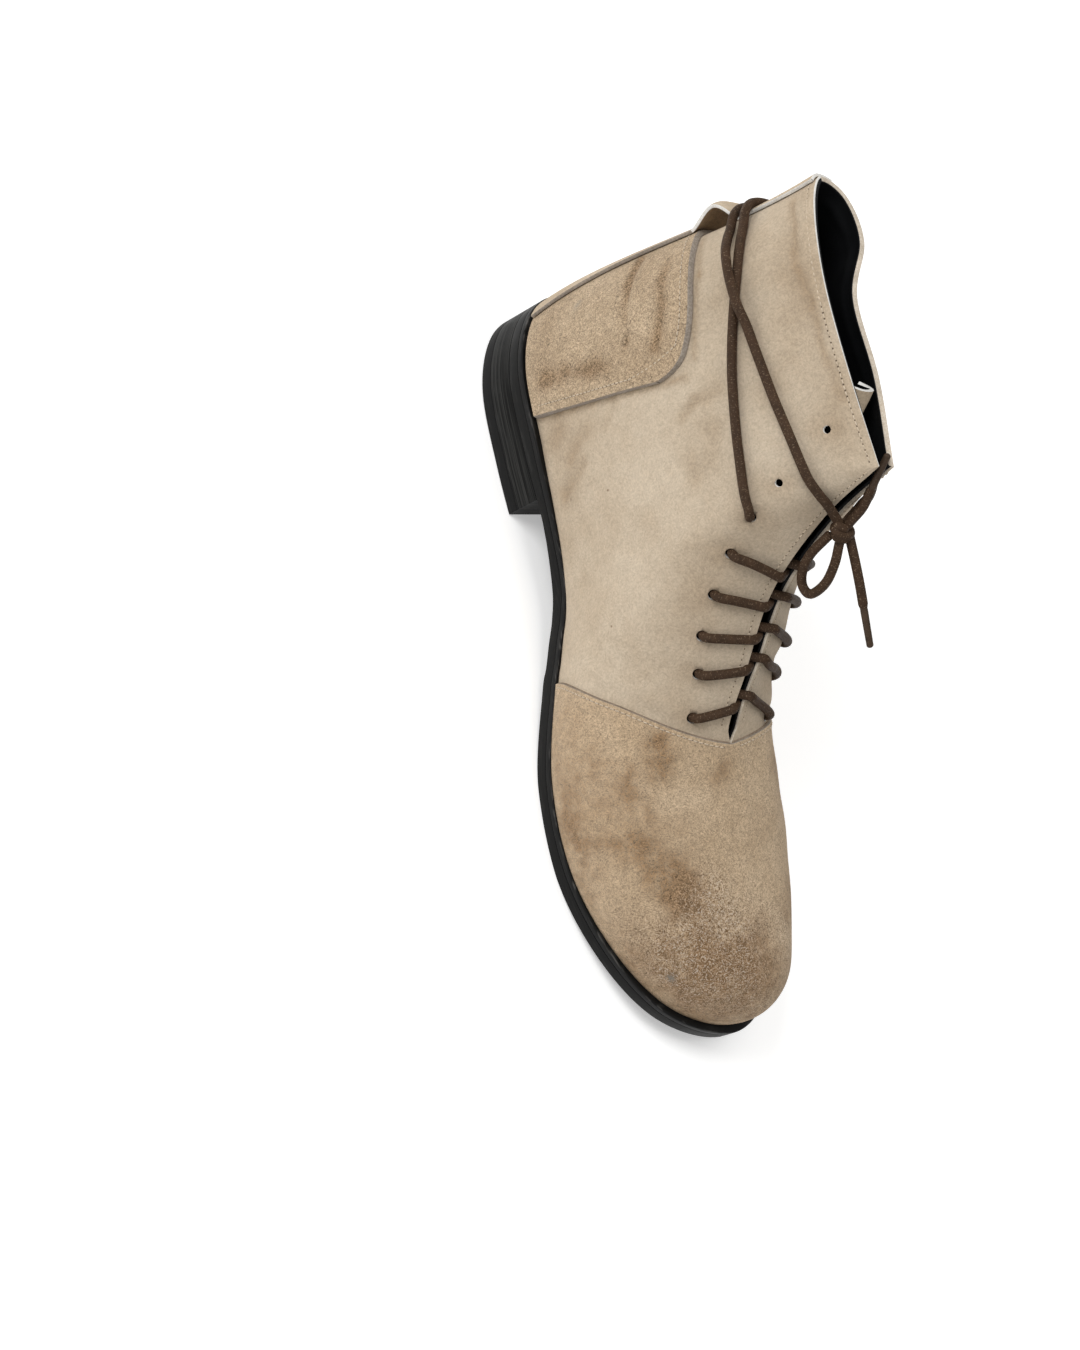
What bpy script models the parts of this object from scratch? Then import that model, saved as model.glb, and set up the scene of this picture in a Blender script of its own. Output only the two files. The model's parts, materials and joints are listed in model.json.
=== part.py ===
"""A right lace-up suede ankle boot that stands empty on its sole.

Metres, +Z up, +X to the toe, +Y to the inner (medial) side of the foot. Tables and sizes are in
millimetres, measured from the back of the heel, the middle line of the last and the floor. The
whole boot hangs on one empty, which puts the middle of its box over the world's origin.
"""

import math

import bmesh
import bpy
import numpy as np
from mathutils import Matrix, Vector

MM = 0.001

# Leather and sole thicknesses
GAP = 0.3
QUARTER_WALL = 2.2
VAMP_STEP = 1.2
COUNTER_THICK = 1.6
STRIP_THICK = 1.2
TONGUE_THICK = 1.6
INSOLE_THICK = 2.6
WELT_THICK = 2.2
WELT_WIDTH = 11.0
TOP_LIFT_THICK = 5.4
EDGE_CHAMFER = 0.7
INSOLE_MARGIN = 3.6
FLOOR = 0.0

# Lace and its holes
LACE = 3.6
LACE_SIDES = 2
TIP = 2.9
TIP_LENGTH = 14.0
HOLE = 4.2
HOLE_SIDES = 8

# One rib of the last to a row, from the back of the heel to the toe. A rib climbs from the feather
# line, where the upper meets the sole, to the top line: collar, throat edge, then the ridge of the
# vamp. lean is the upper's outward angle at the feather, out and down point the rib below the top
# line, and the pulls are the two ends' reach along the rib. margin and tread shape the sole there.
RIB_COLUMNS = (
    "feather_x", "feather_lat", "feather_med", "feather_z",
    "top_x", "top_lat", "top_med", "top_z",
    "lean", "pull_low", "out", "down", "pull_lat", "pull_med",
    "margin", "tread_z",
)
RIBS = {
    "back": (7.2, 0, 0, 25, 13.6, 0, 0, 167, 4, .28, -.04, 1, .38, .38, 5.3, 17.2),
    "heel_corner": (13.5, -15.7, 15.7, 25, 21, -6, 12, 167, 5, .30, .08, 1, .36, .36, 3.7, 17.2),
    "heel_side": (34, -26, 26, 25, 38, -10.5, 15, 167, 8, .34, .3, 1, .36, .36, 3, 17.2),
    "counter": (64, -28, 27, 25, 60, -12, 4, 166.5, 10, .36, .36, 1, .36, .4, 2.4, 17.2),
    "waist": (94, -28, 25, 23.5, 90, -9.5, 6, 165.5, 12, .36, .5, 1, .36, .4, 1.2, 17),
    "corner": (118, -27, 24, 20.3, 123, -5, 3, 164.5, 16, .38, .8, 1, .34, .36, .6, 12.4),
    "throat_high": (130, -28, 25, 17.3, 131, -4, 3, 134, 18, .42, 1, .6, .34, .36, .8, 9.6),
    "throat_mid": (139, -30, 28, 14.8, 148, -5.2, 1.2, 103, 20, .46, 1, .35, .42, .46, 1, 7.2),
    "throat_low": (148, -32, 31, 12.6, 170, -5.2, -.4, 82, 22, .48, 1, .3, .46, .52, 1.2, 5),
    "seam": (157, -34.5, 34, 10.8, 194.5, -2.6, -2.6, 61, 24, .5, 1, .1, .5, .55, 1.5, 3),
    "ball": (192, -44, 42, 7.6, 222, 3.2, 3.2, 52, 22, .48, 1, .03, .5, .49, 2, 0),
    "forefoot": (228, -45, 43, 7.8, 246, 7, 7, 47, 18, .46, 1, 0, .5, .46, 2.2, 0),
    "toe_corner": (260, -35, 37.6, 10.6, 260, 8, 8, 45.3, 14, .46, 1, 0, .52, .43, 3.2, 3),
    "toe_side": (283, -18, 27.8, 14.4, 267, 8, 8, 44, 10, .46, 1, 0, .54, .46, 4.2, 6.8),
    "toe": (292.5, 8, 8, 16.4, 269, 8, 8, 43.6, 8, .48, 1, 0, .54, .54, 4.6, 8.6),
}
TOP_LINE = ("top_x", "top_lat", "top_med", "top_z")
LEVEL_ENDS = {"feather_x": (0, -1), "feather_z": (0, -1), "tread_z": (0, -1), "top_x": (0,)}
RIB_NAMES = tuple(RIBS)
RIB_LAST = len(RIBS) - 1
CORNER_RIB = RIB_NAMES.index("corner")
SEAM_RIB = RIB_NAMES.index("seam")
COLUMN = {
    name: np.array([row[place] for row in RIBS.values()], float)
    for place, name in enumerate(RIB_COLUMNS)
}

# Steps along and up the upper's grid, and along the sole
RIB_STEPS = 3
WALL_STEPS = 11
SOLE_STEPS = 3
SEAM_EDGE = 0.02
SEAM_BOW = 0.2
SEAM_BOW_HEIGHT = 0.38

# Rib place of the heel's front face
HEEL_BREAST_RIB = 3.66

# Heel counter, as rib and height shares of the upper's own surface
COUNTER_RIB_LOW = 2.64
COUNTER_RIB_HIGH = 3.2
COUNTER_TOP = 0.62
COUNTER_TOP_BACK = 0.65
COUNTER_ROUND_FROM = 0.72
COUNTER_ROUND = 0.11
COUNTER_STEPS = (18, 8)
COUNTER_LIFT = 2 * GAP

# Back strip: half its width as a rib share, then rows of height share, lift off the upper and stand-off
# straight to the back. It lies over the counter, stands off as the pull loop and lies on the upper above.
STRIP_HALF_RIB = 0.78
OVER_COUNTER = COUNTER_LIFT + COUNTER_THICK + 2 * GAP
STRIP_ROWS = (
    (0.02, OVER_COUNTER, 0.0),
    (0.61, OVER_COUNTER, 0.0),
    (0.64, OVER_COUNTER, 3.0),
    (0.67, 1.8, 6.8),
    (0.70, 0.8, 7.2),
    (0.73, GAP, 2.6),
    (0.745, GAP, 0.0),
    (0.86, GAP, 0.0),
    (0.985, GAP, 0.0),
)
STRIP_ACROSS = 6
STRIP_UP = 26

# Tongue: middle line, half width and how far its edges fold back, from the vamp up to its tip
TONGUE_COLUMNS = ("x", "y", "z", "half_width", "fold")
TONGUE_ROWS = {
    "root": (181, -1.0, 57, 11.0, 3.5),
    "low": (163, -2.0, 75, 14.0, 6.0),
    "middle": (141, -1.2, 96, 16.5, 8.0),
    "high": (123, -0.4, 124, 13.0, 9.0),
    "neck": (111, -0.8, 148, 7.0, 6.0),
    "tip": (101, -1.6, 163, 4.0, 4.4),
}
TONGUE_ALONG = 12
TONGUE_ACROSS = 8

# Lace holes on both sides, from the vamp up: rib and height share on the upper, and the rib at which
# that pair's bar reaches the throat on the outer side, for the five pairs that have one. On the inner
# side the bars slant: their holes sit nearer the toe, and they leave the throat nearer the collar.
HOLES = (
    (8.88, 0.815, 8.60),
    (8.29, 0.80, 8.06),
    (7.73, 0.78, 7.66),
    (7.12, 0.78, 7.22),
    (6.52, 0.77, 6.78),
    (5.74, 0.738, None),
    (4.86, 0.755, None),
    (4.46, 0.91, None),
)
INNER_HOLE_SHIFT = 0.12
INNER_THROAT_SHIFT = 0.26
CROSSING_STEPS = 4

# The two strands that leave the sixth holes, pass round the shaft and meet in front at the knot: rows
# of rib, negative on the inner side, height share and lift of the cord's middle line off the upper.
# They cross on the outer side and pass over the back strip.
LACE_LIFT = LACE / 2 + GAP + 0.6
OVER_STRIP = LACE_LIFT + STRIP_THICK + 2 * GAP
OVER_LACE = LACE_LIFT + LACE + 2 * GAP
AT_CORNER = LACE_LIFT + 1.0
WRAPS = {
    "lace_wrap_1": (
        (5.74, 0.738, LACE_LIFT),
        (5.48, 0.724, AT_CORNER),
        (5.20, 0.706, AT_CORNER),
        (4.57, 0.682, LACE_LIFT),
        (4.00, 0.697, LACE_LIFT),
        (3.55, 0.715, LACE_LIFT),
        (3.08, 0.739, LACE_LIFT),
        (2.62, 0.763, LACE_LIFT),
        (2.15, 0.784, LACE_LIFT),
        (1.65, 0.798, LACE_LIFT),
        (1.25, 0.803, LACE_LIFT + GAP),
        (0.85, 0.805, OVER_STRIP),
        (0.30, 0.806, OVER_STRIP),
        (-0.30, 0.806, OVER_STRIP),
        (-0.85, 0.805, OVER_STRIP),
        (-1.30, 0.804, LACE_LIFT + GAP),
        (-2.10, 0.803, LACE_LIFT),
        (-2.90, 0.804, LACE_LIFT),
        (-3.44, 0.806, LACE_LIFT),
        (-3.86, 0.816, LACE_LIFT),
        (-4.22, 0.831, LACE_LIFT),
        (-4.60, 0.845, LACE_LIFT),
        (-4.90, 0.860, AT_CORNER),
        (-5.16, 0.884, AT_CORNER),
        (-5.45, 0.930, LACE_LIFT + GAP),
        (-5.66, 0.970, LACE_LIFT + 0.6),
    ),
    "lace_wrap_2": (
        (-5.74, 0.738, LACE_LIFT),
        (-5.48, 0.724, AT_CORNER),
        (-5.20, 0.706, AT_CORNER),
        (-4.57, 0.682, LACE_LIFT),
        (-4.00, 0.700, LACE_LIFT),
        (-3.32, 0.730, LACE_LIFT),
        (-2.50, 0.750, LACE_LIFT),
        (-1.95, 0.758, LACE_LIFT),
        (-1.30, 0.763, LACE_LIFT + GAP),
        (-0.85, 0.765, OVER_STRIP),
        (-0.30, 0.766, OVER_STRIP),
        (0.30, 0.765, OVER_STRIP),
        (0.85, 0.763, OVER_STRIP),
        (1.25, 0.762, LACE_LIFT + 0.8),
        (1.55, 0.764, LACE_LIFT + 1.6),
        (1.85, 0.769, OVER_LACE - 0.6),
        (2.15, 0.775, OVER_LACE),
        (2.45, 0.780, OVER_LACE),
        (2.72, 0.784, OVER_LACE - 0.8),
        (3.00, 0.789, LACE_LIFT + 1.0),
        (3.40, 0.798, LACE_LIFT),
        (3.86, 0.809, LACE_LIFT),
        (4.22, 0.820, LACE_LIFT),
        (4.53, 0.833, LACE_LIFT),
        (4.90, 0.860, AT_CORNER),
        (5.16, 0.884, AT_CORNER),
        (5.45, 0.930, LACE_LIFT + GAP),
        (5.66, 0.970, LACE_LIFT + 0.6),
    ),
}
WRAP_ENDS = {"lace_wrap_1": (133.9, 3.3, 138.5), "lace_wrap_2": (133.9, -3.3, 138.5)}
WRAP_STEP = 8.0

# The knot over the throat, and the routes of the loop and of the two ends with their tips, as x, y, z
KNOT_AT = (137.4, 0.0, 136.6)
KNOT_SIZE = (8.4, 11.0, 8.6)
KNOT_SIDES = (10, 6)
FREE_LACES = {
    "lace_loop": (
        (137.7, -2.8, 132.4),
        (141.8, -5.0, 124.0),
        (146.0, -4.2, 117.6),
        (150.8, -2.8, 114.6),
        (154.6, -1.8, 116.6),
        (153.0, -1.2, 124.0),
        (147.6, -0.6, 130.0),
        (141.3, -0.2, 134.1),
    ),
    "lace_end_1": (
        (135.4, 0.5, 140.9),
        (132.2, 1.2, 147.6),
        (127.6, 0.5, 154.2),
    ),
    "lace_end_2": (
        (140.6, 4.2, 135.8),
        (149.0, 5.6, 134.3),
        (157.0, 7.4, 132.2),
        (164.0, 9.2, 129.9),
    ),
}
FREE_STEP = 6.0
TIP_OF = {"lace_tip_1": "lace_end_1", "lace_tip_2": "lace_end_2"}


def smooth(values, place, knee=None, level_ends=()):
    """Cubic curve through one value for each rib, read at the rib places.

    It may turn at a knee, and it starts or ends level at the rows that level_ends names.
    """
    values = np.asarray(values, float)
    place = np.asarray(place, float)
    if knee is not None:
        low = smooth(values[: knee + 1], np.minimum(place, knee), None, level_ends)
        high = smooth(values[knee:], np.maximum(place - knee, 0))
        return np.where(place <= knee, low, high)
    slope = np.gradient(values)
    slope[list(level_ends)] = 0
    start = np.clip(np.floor(place).astype(int), 0, len(values) - 2)
    s = place - start
    return (
        (2 * s**3 - 3 * s**2 + 1) * values[start]
        + (s**3 - 2 * s**2 + s) * slope[start]
        + (3 * s**2 - 2 * s**3) * values[start + 1]
        + (s**3 - s**2) * slope[start + 1]
    )


def rib(name, place):
    """One column of the rib table at a place between the ribs; the top line turns at the corner."""
    knee = CORNER_RIB if name in TOP_LINE else None
    return float(smooth(COLUMN[name], place, knee, LEVEL_ENDS.get(name, ())))


def side_name(u):
    """Places along the boot are negative on the inner side and positive on the outer side."""
    return "lat" if u >= 0 else "med"


def feather(u):
    """Point of the feather line."""
    place = abs(u)
    return np.array(
        [rib("feather_x", place), rib("feather_" + side_name(u), place), rib("feather_z", place)]
    )


def plan_out(u):
    """Unit vector, level, straight out of the feather line."""
    place = abs(u)
    if place < 1e-6:
        return np.array([-1.0, 0.0, 0.0])
    if place > RIB_LAST - 1e-6:
        return np.array([1.0, 0.0, 0.0])
    step = 0.01
    side = 1 if u >= 0 else -1
    ahead = feather(side * min(place + step, RIB_LAST))
    behind = feather(side * max(place - step, 1e-6))
    along = (ahead - behind) * side
    out = np.array([along[1], -along[0], 0.0])
    return out / np.linalg.norm(out)


def top_line(u):
    """Point of the collar, the throat edge or the ridge, where the two sides are one."""
    place = abs(u)
    sides = (side_name(u),) if place < SEAM_RIB else ("lat", "med")
    across = sum(rib("top_" + side, place) for side in sides) / len(sides)
    return np.array([rib("top_x", place), across, rib("top_z", place)])


def wall(u, v):
    """Point of the upper's outer face: rib place u, height share v from the feather to the top."""
    place = abs(u)
    low, high = feather(u), top_line(u)
    out = plan_out(u)
    span = np.linalg.norm(high - low)
    lean = math.radians(rib("lean", place))
    rise = out * math.sin(lean) + np.array([0, 0, math.cos(lean)])
    fall = out * rib("out", place) - np.array([0, 0, rib("down", place)])
    fall /= np.linalg.norm(fall)
    low_pull = low + rise * rib("pull_low", place) * span
    high_pull = high + fall * rib("pull_" + side_name(u), place) * span
    w = 1 - v
    return w**3 * low + 3 * w**2 * v * low_pull + 3 * w * v**2 * high_pull + v**3 * high


def wall_normal(u, v):
    """Unit vector out of the upper's face."""
    step = 0.02
    u_low, u_high = max(u - step, -RIB_LAST), min(u + step, RIB_LAST)
    v_low, v_high = max(v - step, 0.0), min(v + step, 1.0)
    along = wall(u_high, v) - wall(u_low, v)
    if abs(u) > RIB_LAST - 1e-6:
        along = wall(step - RIB_LAST, v) - wall(RIB_LAST - step, v)
    up = wall(u, v_high) - wall(u, v_low)
    out = np.cross(along, up)
    return out / np.linalg.norm(out)


def skin(u, v, lift):
    """Point at a height off the upper's outer face."""
    return wall(u, v) + wall_normal(u, v) * lift


def sole_edge(u, inset=0.0):
    """Point of the sole's outline, level with the feather line, or a way inside it."""
    return feather(u) + plan_out(u) * (rib("margin", abs(u)) - inset)


def level(name, x):
    """A height column of the rib table at a distance along the boot, run on straight past its ends."""
    places = np.linspace(0, RIB_LAST, 4 * RIB_LAST + 1)
    along = smooth(COLUMN["feather_x"], places, None, LEVEL_ENDS["feather_x"])
    heights = smooth(COLUMN[name], places, None, LEVEL_ENDS[name])
    if x > along[-1]:
        slope = (heights[-1] - heights[-2]) / (along[-1] - along[-2])
        return float(heights[-1] + slope * (x - along[-1]))
    return float(np.interp(x, along, heights))


def tread(x):
    """Height of the outsole's underside, flat on the floor at the ball."""
    return max(FLOOR, level("tread_z", x))


def seat(x):
    """Height of the top of the sole, which the upper stands on."""
    return level("feather_z", x)


def material(name, color, roughness):
    """A plain Principled material."""
    made = bpy.data.materials.new(name)
    made.use_nodes = True
    shader = made.node_tree.nodes["Principled BSDF"]
    shader.inputs["Base Color"].default_value = (*color, 1)
    shader.inputs["Roughness"].default_value = roughness
    shader.inputs["Metallic"].default_value = 0.0
    return made


def new_object(name, data, finish, root, parts):
    """An object under the boot's empty, in the parts' collection."""
    made = bpy.data.objects.new(name, data)
    made.data.materials.append(finish)
    made.parent = root
    parts.objects.link(made)
    return made


def grid_mesh(name, columns, rows, place, closed=False):
    """A grid whose points stand at place(column, row); a closed one is a solid with its ends filled."""
    made = bmesh.new()
    bmesh.ops.create_grid(made, x_segments=len(columns) - 1, y_segments=len(rows) - 1, size=0.5)
    for vert in made.verts:
        i = round((vert.co.x + 0.5) * (len(columns) - 1))
        j = round((vert.co.y + 0.5) * (len(rows) - 1))
        vert.co = Vector(place(columns[i], rows[j])) * MM
    bmesh.ops.remove_doubles(made, verts=made.verts, dist=1e-6)
    if closed:
        rims = [edge for edge in made.edges if edge.is_boundary]
        bmesh.ops.holes_fill(made, edges=rims, sides=0)
        bmesh.ops.recalc_face_normals(made, faces=made.faces)
    mesh = bpy.data.meshes.new(name)
    made.to_mesh(mesh)
    made.free()
    mesh.shade_smooth()
    return mesh


def solidify(target, thickness, inward):
    """Gives an open sheet its leather, inward or outward of the modelled face."""
    shell = target.modifiers.new("leather", "SOLIDIFY")
    shell.thickness = thickness * MM
    shell.offset = -1 if inward else 1


def rib_places(steps, first, last):
    """Places from one rib to another, evenly shared between ribs."""
    return list(np.linspace(first, last, round((last - first) * steps) + 1))


def build_upper(finish, root, parts, cutters):
    """The hollow upper: quarters and vamp in one wall, stepped at the vamp seam, with lace holes."""
    low = rib_places(RIB_STEPS, 0, SEAM_RIB)[:-1] + [SEAM_RIB - SEAM_EDGE]
    high = [SEAM_RIB + SEAM_EDGE] + rib_places(RIB_STEPS, SEAM_RIB, RIB_LAST)[1:]
    half = low + high
    columns = [-u for u in reversed(half)] + half[1:]
    rows = list(np.linspace(0, 1, WALL_STEPS + 1))

    def place(u, v):
        step = VAMP_STEP if abs(u) > SEAM_RIB else 0.0
        u = bowed(u, v)
        if v < 1e-6:
            foot = wall(u, v) + plan_out(u) * step
            return (foot[0], foot[1], seat(foot[0]))
        return wall(u, v) + step * (np.array([0, 0, 1]) if v > 1 - 1e-6 else wall_normal(u, v))

    upper = new_object("upper", grid_mesh("upper", columns, rows, place), finish, root, parts)
    solidify(upper, QUARTER_WALL, True)
    cut_holes(upper, root, cutters)


def bowed(u, v):
    """Rib place moved toward the toe near the vamp seam, which bows forward at mid height."""
    bow = SEAM_BOW * (1 - ((v - SEAM_BOW_HEIGHT) / (1 - SEAM_BOW_HEIGHT)) ** 2)
    near = max(0.0, 1 - abs(abs(u) - SEAM_RIB))
    return math.copysign(abs(u) + bow * near, u)


def cut_holes(upper, root, cutters):
    """Punches the lace holes through both quarters."""
    punch = bmesh.new()
    for place, height, crossing in HOLES:
        inner = place if crossing is None else place + INNER_HOLE_SHIFT
        for u in (-inner, place):
            at = Vector(wall(u, height)) * MM
            out = Vector(wall_normal(u, height))
            turn = out.to_track_quat("Z", "Y").to_matrix().to_4x4()
            bmesh.ops.create_cone(
                punch, cap_ends=True, segments=HOLE_SIDES, radius1=HOLE / 2 * MM,
                radius2=HOLE / 2 * MM, depth=12 * MM, matrix=Matrix.Translation(at) @ turn,
            )
    mesh = bpy.data.meshes.new("lace_hole_punch")
    punch.to_mesh(mesh)
    punch.free()
    cutter = bpy.data.objects.new("lace_hole_punch", mesh)
    cutter.parent = root
    cutter.hide_render = True
    cutter.display_type = "WIRE"
    cutters.objects.link(cutter)
    cut = upper.modifiers.new("lace holes", "BOOLEAN")
    cut.object = cutter
    cut.operation = "DIFFERENCE"


def loft(name, places, section, finish, root, parts):
    """A solid whose section at each rib place is a closed loop of points."""
    count = len(section(places[0]))

    def place(u, row):
        return section(u)[row % count]

    mesh = grid_mesh(name, places, list(range(count + 1)), place, closed=True)
    return new_object(name, mesh, finish, root, parts)


def slab_section(place, low, high, inset=0.0):
    """Strip from edge to edge between two heights along the boot, its outer corners taken off."""
    loop = []
    for side in (1, -1):
        u = side * max(place, 1e-9)
        edge, inner = sole_edge(u, inset), sole_edge(u, inset + EDGE_CHAMFER)
        half = [
            (inner[0], inner[1], low(inner[0])),
            (edge[0], edge[1], low(edge[0]) + EDGE_CHAMFER),
            (edge[0], edge[1], high(edge[0]) - EDGE_CHAMFER),
            (inner[0], inner[1], high(inner[0])),
        ]
        loop += half if side > 0 else reversed(half)
    return loop


def build_sole(finishes, root, parts):
    """Outsole, welt, insole and the two layers of the heel, stacked a gap apart."""
    places = rib_places(SOLE_STEPS, 0, RIB_LAST)

    def outsole_section(place):
        return slab_section(place, tread, lambda x: seat(x) - WELT_THICK - 2 * GAP)

    loft("outsole", places, outsole_section, finishes["outsole"], root, parts)

    def insole_section(place):
        inset = rib("margin", place) + INSOLE_MARGIN
        return slab_section(place, seat, lambda x: seat(x) + INSOLE_THICK, inset)

    loft("insole", places, insole_section, finishes["insole"], root, parts)
    build_welt(finishes["welt"], root, parts)
    heel_places = rib_places(SOLE_STEPS, 0, HEEL_BREAST_RIB)

    def lift_section(place):
        return slab_section(place, lambda x: FLOOR, lambda x: TOP_LIFT_THICK)

    def block_section(place):
        return slab_section(place, lambda x: TOP_LIFT_THICK + GAP, lambda x: tread(x) - GAP)

    loft("heel_lift", heel_places, lift_section, finishes["heel_lift"], root, parts)
    loft("heel_block", heel_places, block_section, finishes["heel_block"], root, parts)


def build_welt(finish, root, parts):
    """The strip round the sole's edge that the upper stands on, all the way round."""
    half = rib_places(SOLE_STEPS, 0, RIB_LAST)
    around = [-u for u in reversed(half)] + half[1:]
    nick = EDGE_CHAMFER
    loop = ((0, WELT_THICK), (0, nick), (nick, 0), (WELT_WIDTH, 0), (WELT_WIDTH, WELT_THICK))

    def place(u, row):
        inset, depth = loop[row % len(loop)]
        edge = sole_edge(u, inset)
        return (edge[0], edge[1], seat(edge[0]) - GAP - depth)

    new_object("welt", grid_mesh("welt", around, list(range(6)), place, closed=True), finish, root, parts)


def build_counter(finish, root, parts):
    """The heel counter, cut from the upper's own surface and laid on it."""
    across, up = COUNTER_STEPS
    columns = list(np.linspace(-1, 1, across + 1))
    rows = list(np.linspace(0, 1, up + 1))

    def place(a, b):
        top = COUNTER_TOP_BACK + (COUNTER_TOP - COUNTER_TOP_BACK) * a**2
        over = max(0.0, (abs(a) - COUNTER_ROUND_FROM) / (1 - COUNTER_ROUND_FROM))
        top -= COUNTER_ROUND * (1 - math.sqrt(1 - min(over, 1.0) ** 2))
        v = 0.012 + b * (top - 0.012)
        reach = COUNTER_RIB_LOW + (COUNTER_RIB_HIGH - COUNTER_RIB_LOW) * b
        return skin(a * reach, v, COUNTER_LIFT)

    mesh = grid_mesh("heel_counter", columns, rows, place)
    solidify(new_object("heel_counter", mesh, finish, root, parts), COUNTER_THICK, False)


def build_strip(finish, root, parts):
    """The back strip, over the counter and up to the collar, standing off as a pull loop."""
    columns = list(np.linspace(-STRIP_HALF_RIB, STRIP_HALF_RIB, STRIP_ACROSS + 1))
    heights, lifts, stand_offs = zip(*STRIP_ROWS)
    rows = list(np.linspace(heights[0], heights[-1], STRIP_UP + 1))

    def place(u, v):
        stand_off = float(np.interp(v, heights, stand_offs))
        return skin(u, v, float(np.interp(v, heights, lifts))) + wall_normal(0.0, v) * stand_off

    mesh = grid_mesh("back_strip", columns, rows, place)
    solidify(new_object("back_strip", mesh, finish, root, parts), STRIP_THICK, False)


def build_tongue(finish, root, parts):
    """The tongue behind the throat, folding narrower up to its tip inside the collar."""
    table = np.array(list(TONGUE_ROWS.values()), float)
    last = len(table) - 1

    def row(place):
        return {name: float(smooth(table[:, k], place)) for k, name in enumerate(TONGUE_COLUMNS)}

    def middle(place):
        at = row(place)
        return np.array([at["x"], at["y"], at["z"]])

    def place(along, across):
        at = row(along)
        climb = middle(min(along + 0.05, last)) - middle(max(along - 0.05, 0))
        inward = np.cross(np.array([0.0, 1.0, 0.0]), climb)
        inward /= np.linalg.norm(inward)
        inward *= -1 if inward[0] > 0 else 1
        side = np.array([0.0, 1.0, 0.0]) * across * at["half_width"]
        return middle(along) + side + inward * at["fold"] * across**2

    columns = list(np.linspace(0, last, TONGUE_ALONG + 1))
    rows = list(np.linspace(-1, 1, TONGUE_ACROSS + 1))
    mesh = grid_mesh("tongue", columns, rows, place)
    solidify(new_object("tongue", mesh, finish, root, parts), TONGUE_THICK, True)


def tube(name, points, diameter, finish, root, parts):
    """A round cord along points read from a smooth curve."""
    curve = bpy.data.curves.new(name, "CURVE")
    curve.dimensions = "3D"
    curve.bevel_depth = diameter / 2 * MM
    curve.bevel_resolution = LACE_SIDES
    curve.use_fill_caps = True
    spline = curve.splines.new("POLY")
    spline.points.add(len(points) - 1)
    for point, spot in zip(spline.points, points):
        point.co = (*(np.asarray(spot) * MM), 1)
    return new_object(name, curve, finish, root, parts)


def even_points(points, step):
    """Points about a step apart on the smooth curve through a route's own points."""
    table = np.asarray(points, float)
    fine = np.linspace(0, len(table) - 1, 40 * len(table))
    line = np.stack([smooth(table[:, k], fine) for k in range(3)], axis=1)
    run = np.concatenate([[0], np.cumsum(np.linalg.norm(np.diff(line, axis=0), axis=1))])
    marks = np.linspace(0, run[-1], max(2, round(run[-1] / step)) + 1)
    return np.stack([np.interp(marks, run, line[:, k]) for k in range(3)], axis=1)


def build_crossings(finish, root, parts):
    """One bar to a laced pair of holes, over the outer side, the throat and the inner side."""
    for number, (place, height, crossing) in enumerate(HOLES, 1):
        if crossing is None:
            continue
        shares = np.linspace(0, 1, CROSSING_STEPS + 1)
        inner_place, inner_crossing = place + INNER_HOLE_SHIFT, crossing - INNER_THROAT_SHIFT
        route = [
            skin(place + (crossing - place) * s, height + (0.995 - height) * s, LACE_LIFT) for s in shares
        ]
        route += [
            skin(-inner_place - (inner_crossing - inner_place) * s, height + (0.995 - height) * s, LACE_LIFT)
            for s in reversed(shares)
        ]
        tube(f"lace_crossing_{number}", even_points(route, WRAP_STEP), LACE, finish, root, parts)


def build_free_laces(finish, root, parts):
    """The two strands round the shaft, the knot, its loop and the two ends with their tips."""
    for name, rows in WRAPS.items():
        route = [skin(u, v, lift) for u, v, lift in rows] + [WRAP_ENDS[name]]
        tube(name, even_points(route, WRAP_STEP), LACE, finish, root, parts)
    ball = bmesh.new()
    around, up = KNOT_SIDES
    place = Matrix.LocRotScale(Vector(KNOT_AT) * MM, None, Vector(KNOT_SIZE) * MM)
    bmesh.ops.create_uvsphere(ball, u_segments=around, v_segments=up, radius=0.5, matrix=place)
    mesh = bpy.data.meshes.new("lace_knot")
    ball.to_mesh(mesh)
    ball.free()
    new_object("lace_knot", mesh, finish, root, parts)
    for name, route in FREE_LACES.items():
        tube(name, even_points(route, FREE_STEP), LACE, finish, root, parts)
    for name, end in TIP_OF.items():
        route = np.array(FREE_LACES[end])
        along = (route[-1] - route[-2]) / np.linalg.norm(route[-1] - route[-2])
        start = route[-1] + along * GAP
        tube(name, [start, start + along * TIP_LENGTH], TIP, finish, root, parts)


def stand_on_origin(root, parts):
    """Moves the boot so that its box, without the free lace, stands on the origin."""
    free = ("lace_knot", *FREE_LACES, *TIP_OF)
    graph = bpy.context.evaluated_depsgraph_get()
    points = []
    for part in parts.objects:
        if part.type != "EMPTY" and part.name not in free:
            solid = part.evaluated_get(graph)
            points += [vert.co.copy() for vert in solid.to_mesh().vertices]
            solid.to_mesh_clear()
    low, high = np.min(points, axis=0), np.max(points, axis=0)
    root.location = (-(low[0] + high[0]) / 2, -(low[1] + high[1]) / 2, -low[2])


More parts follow.
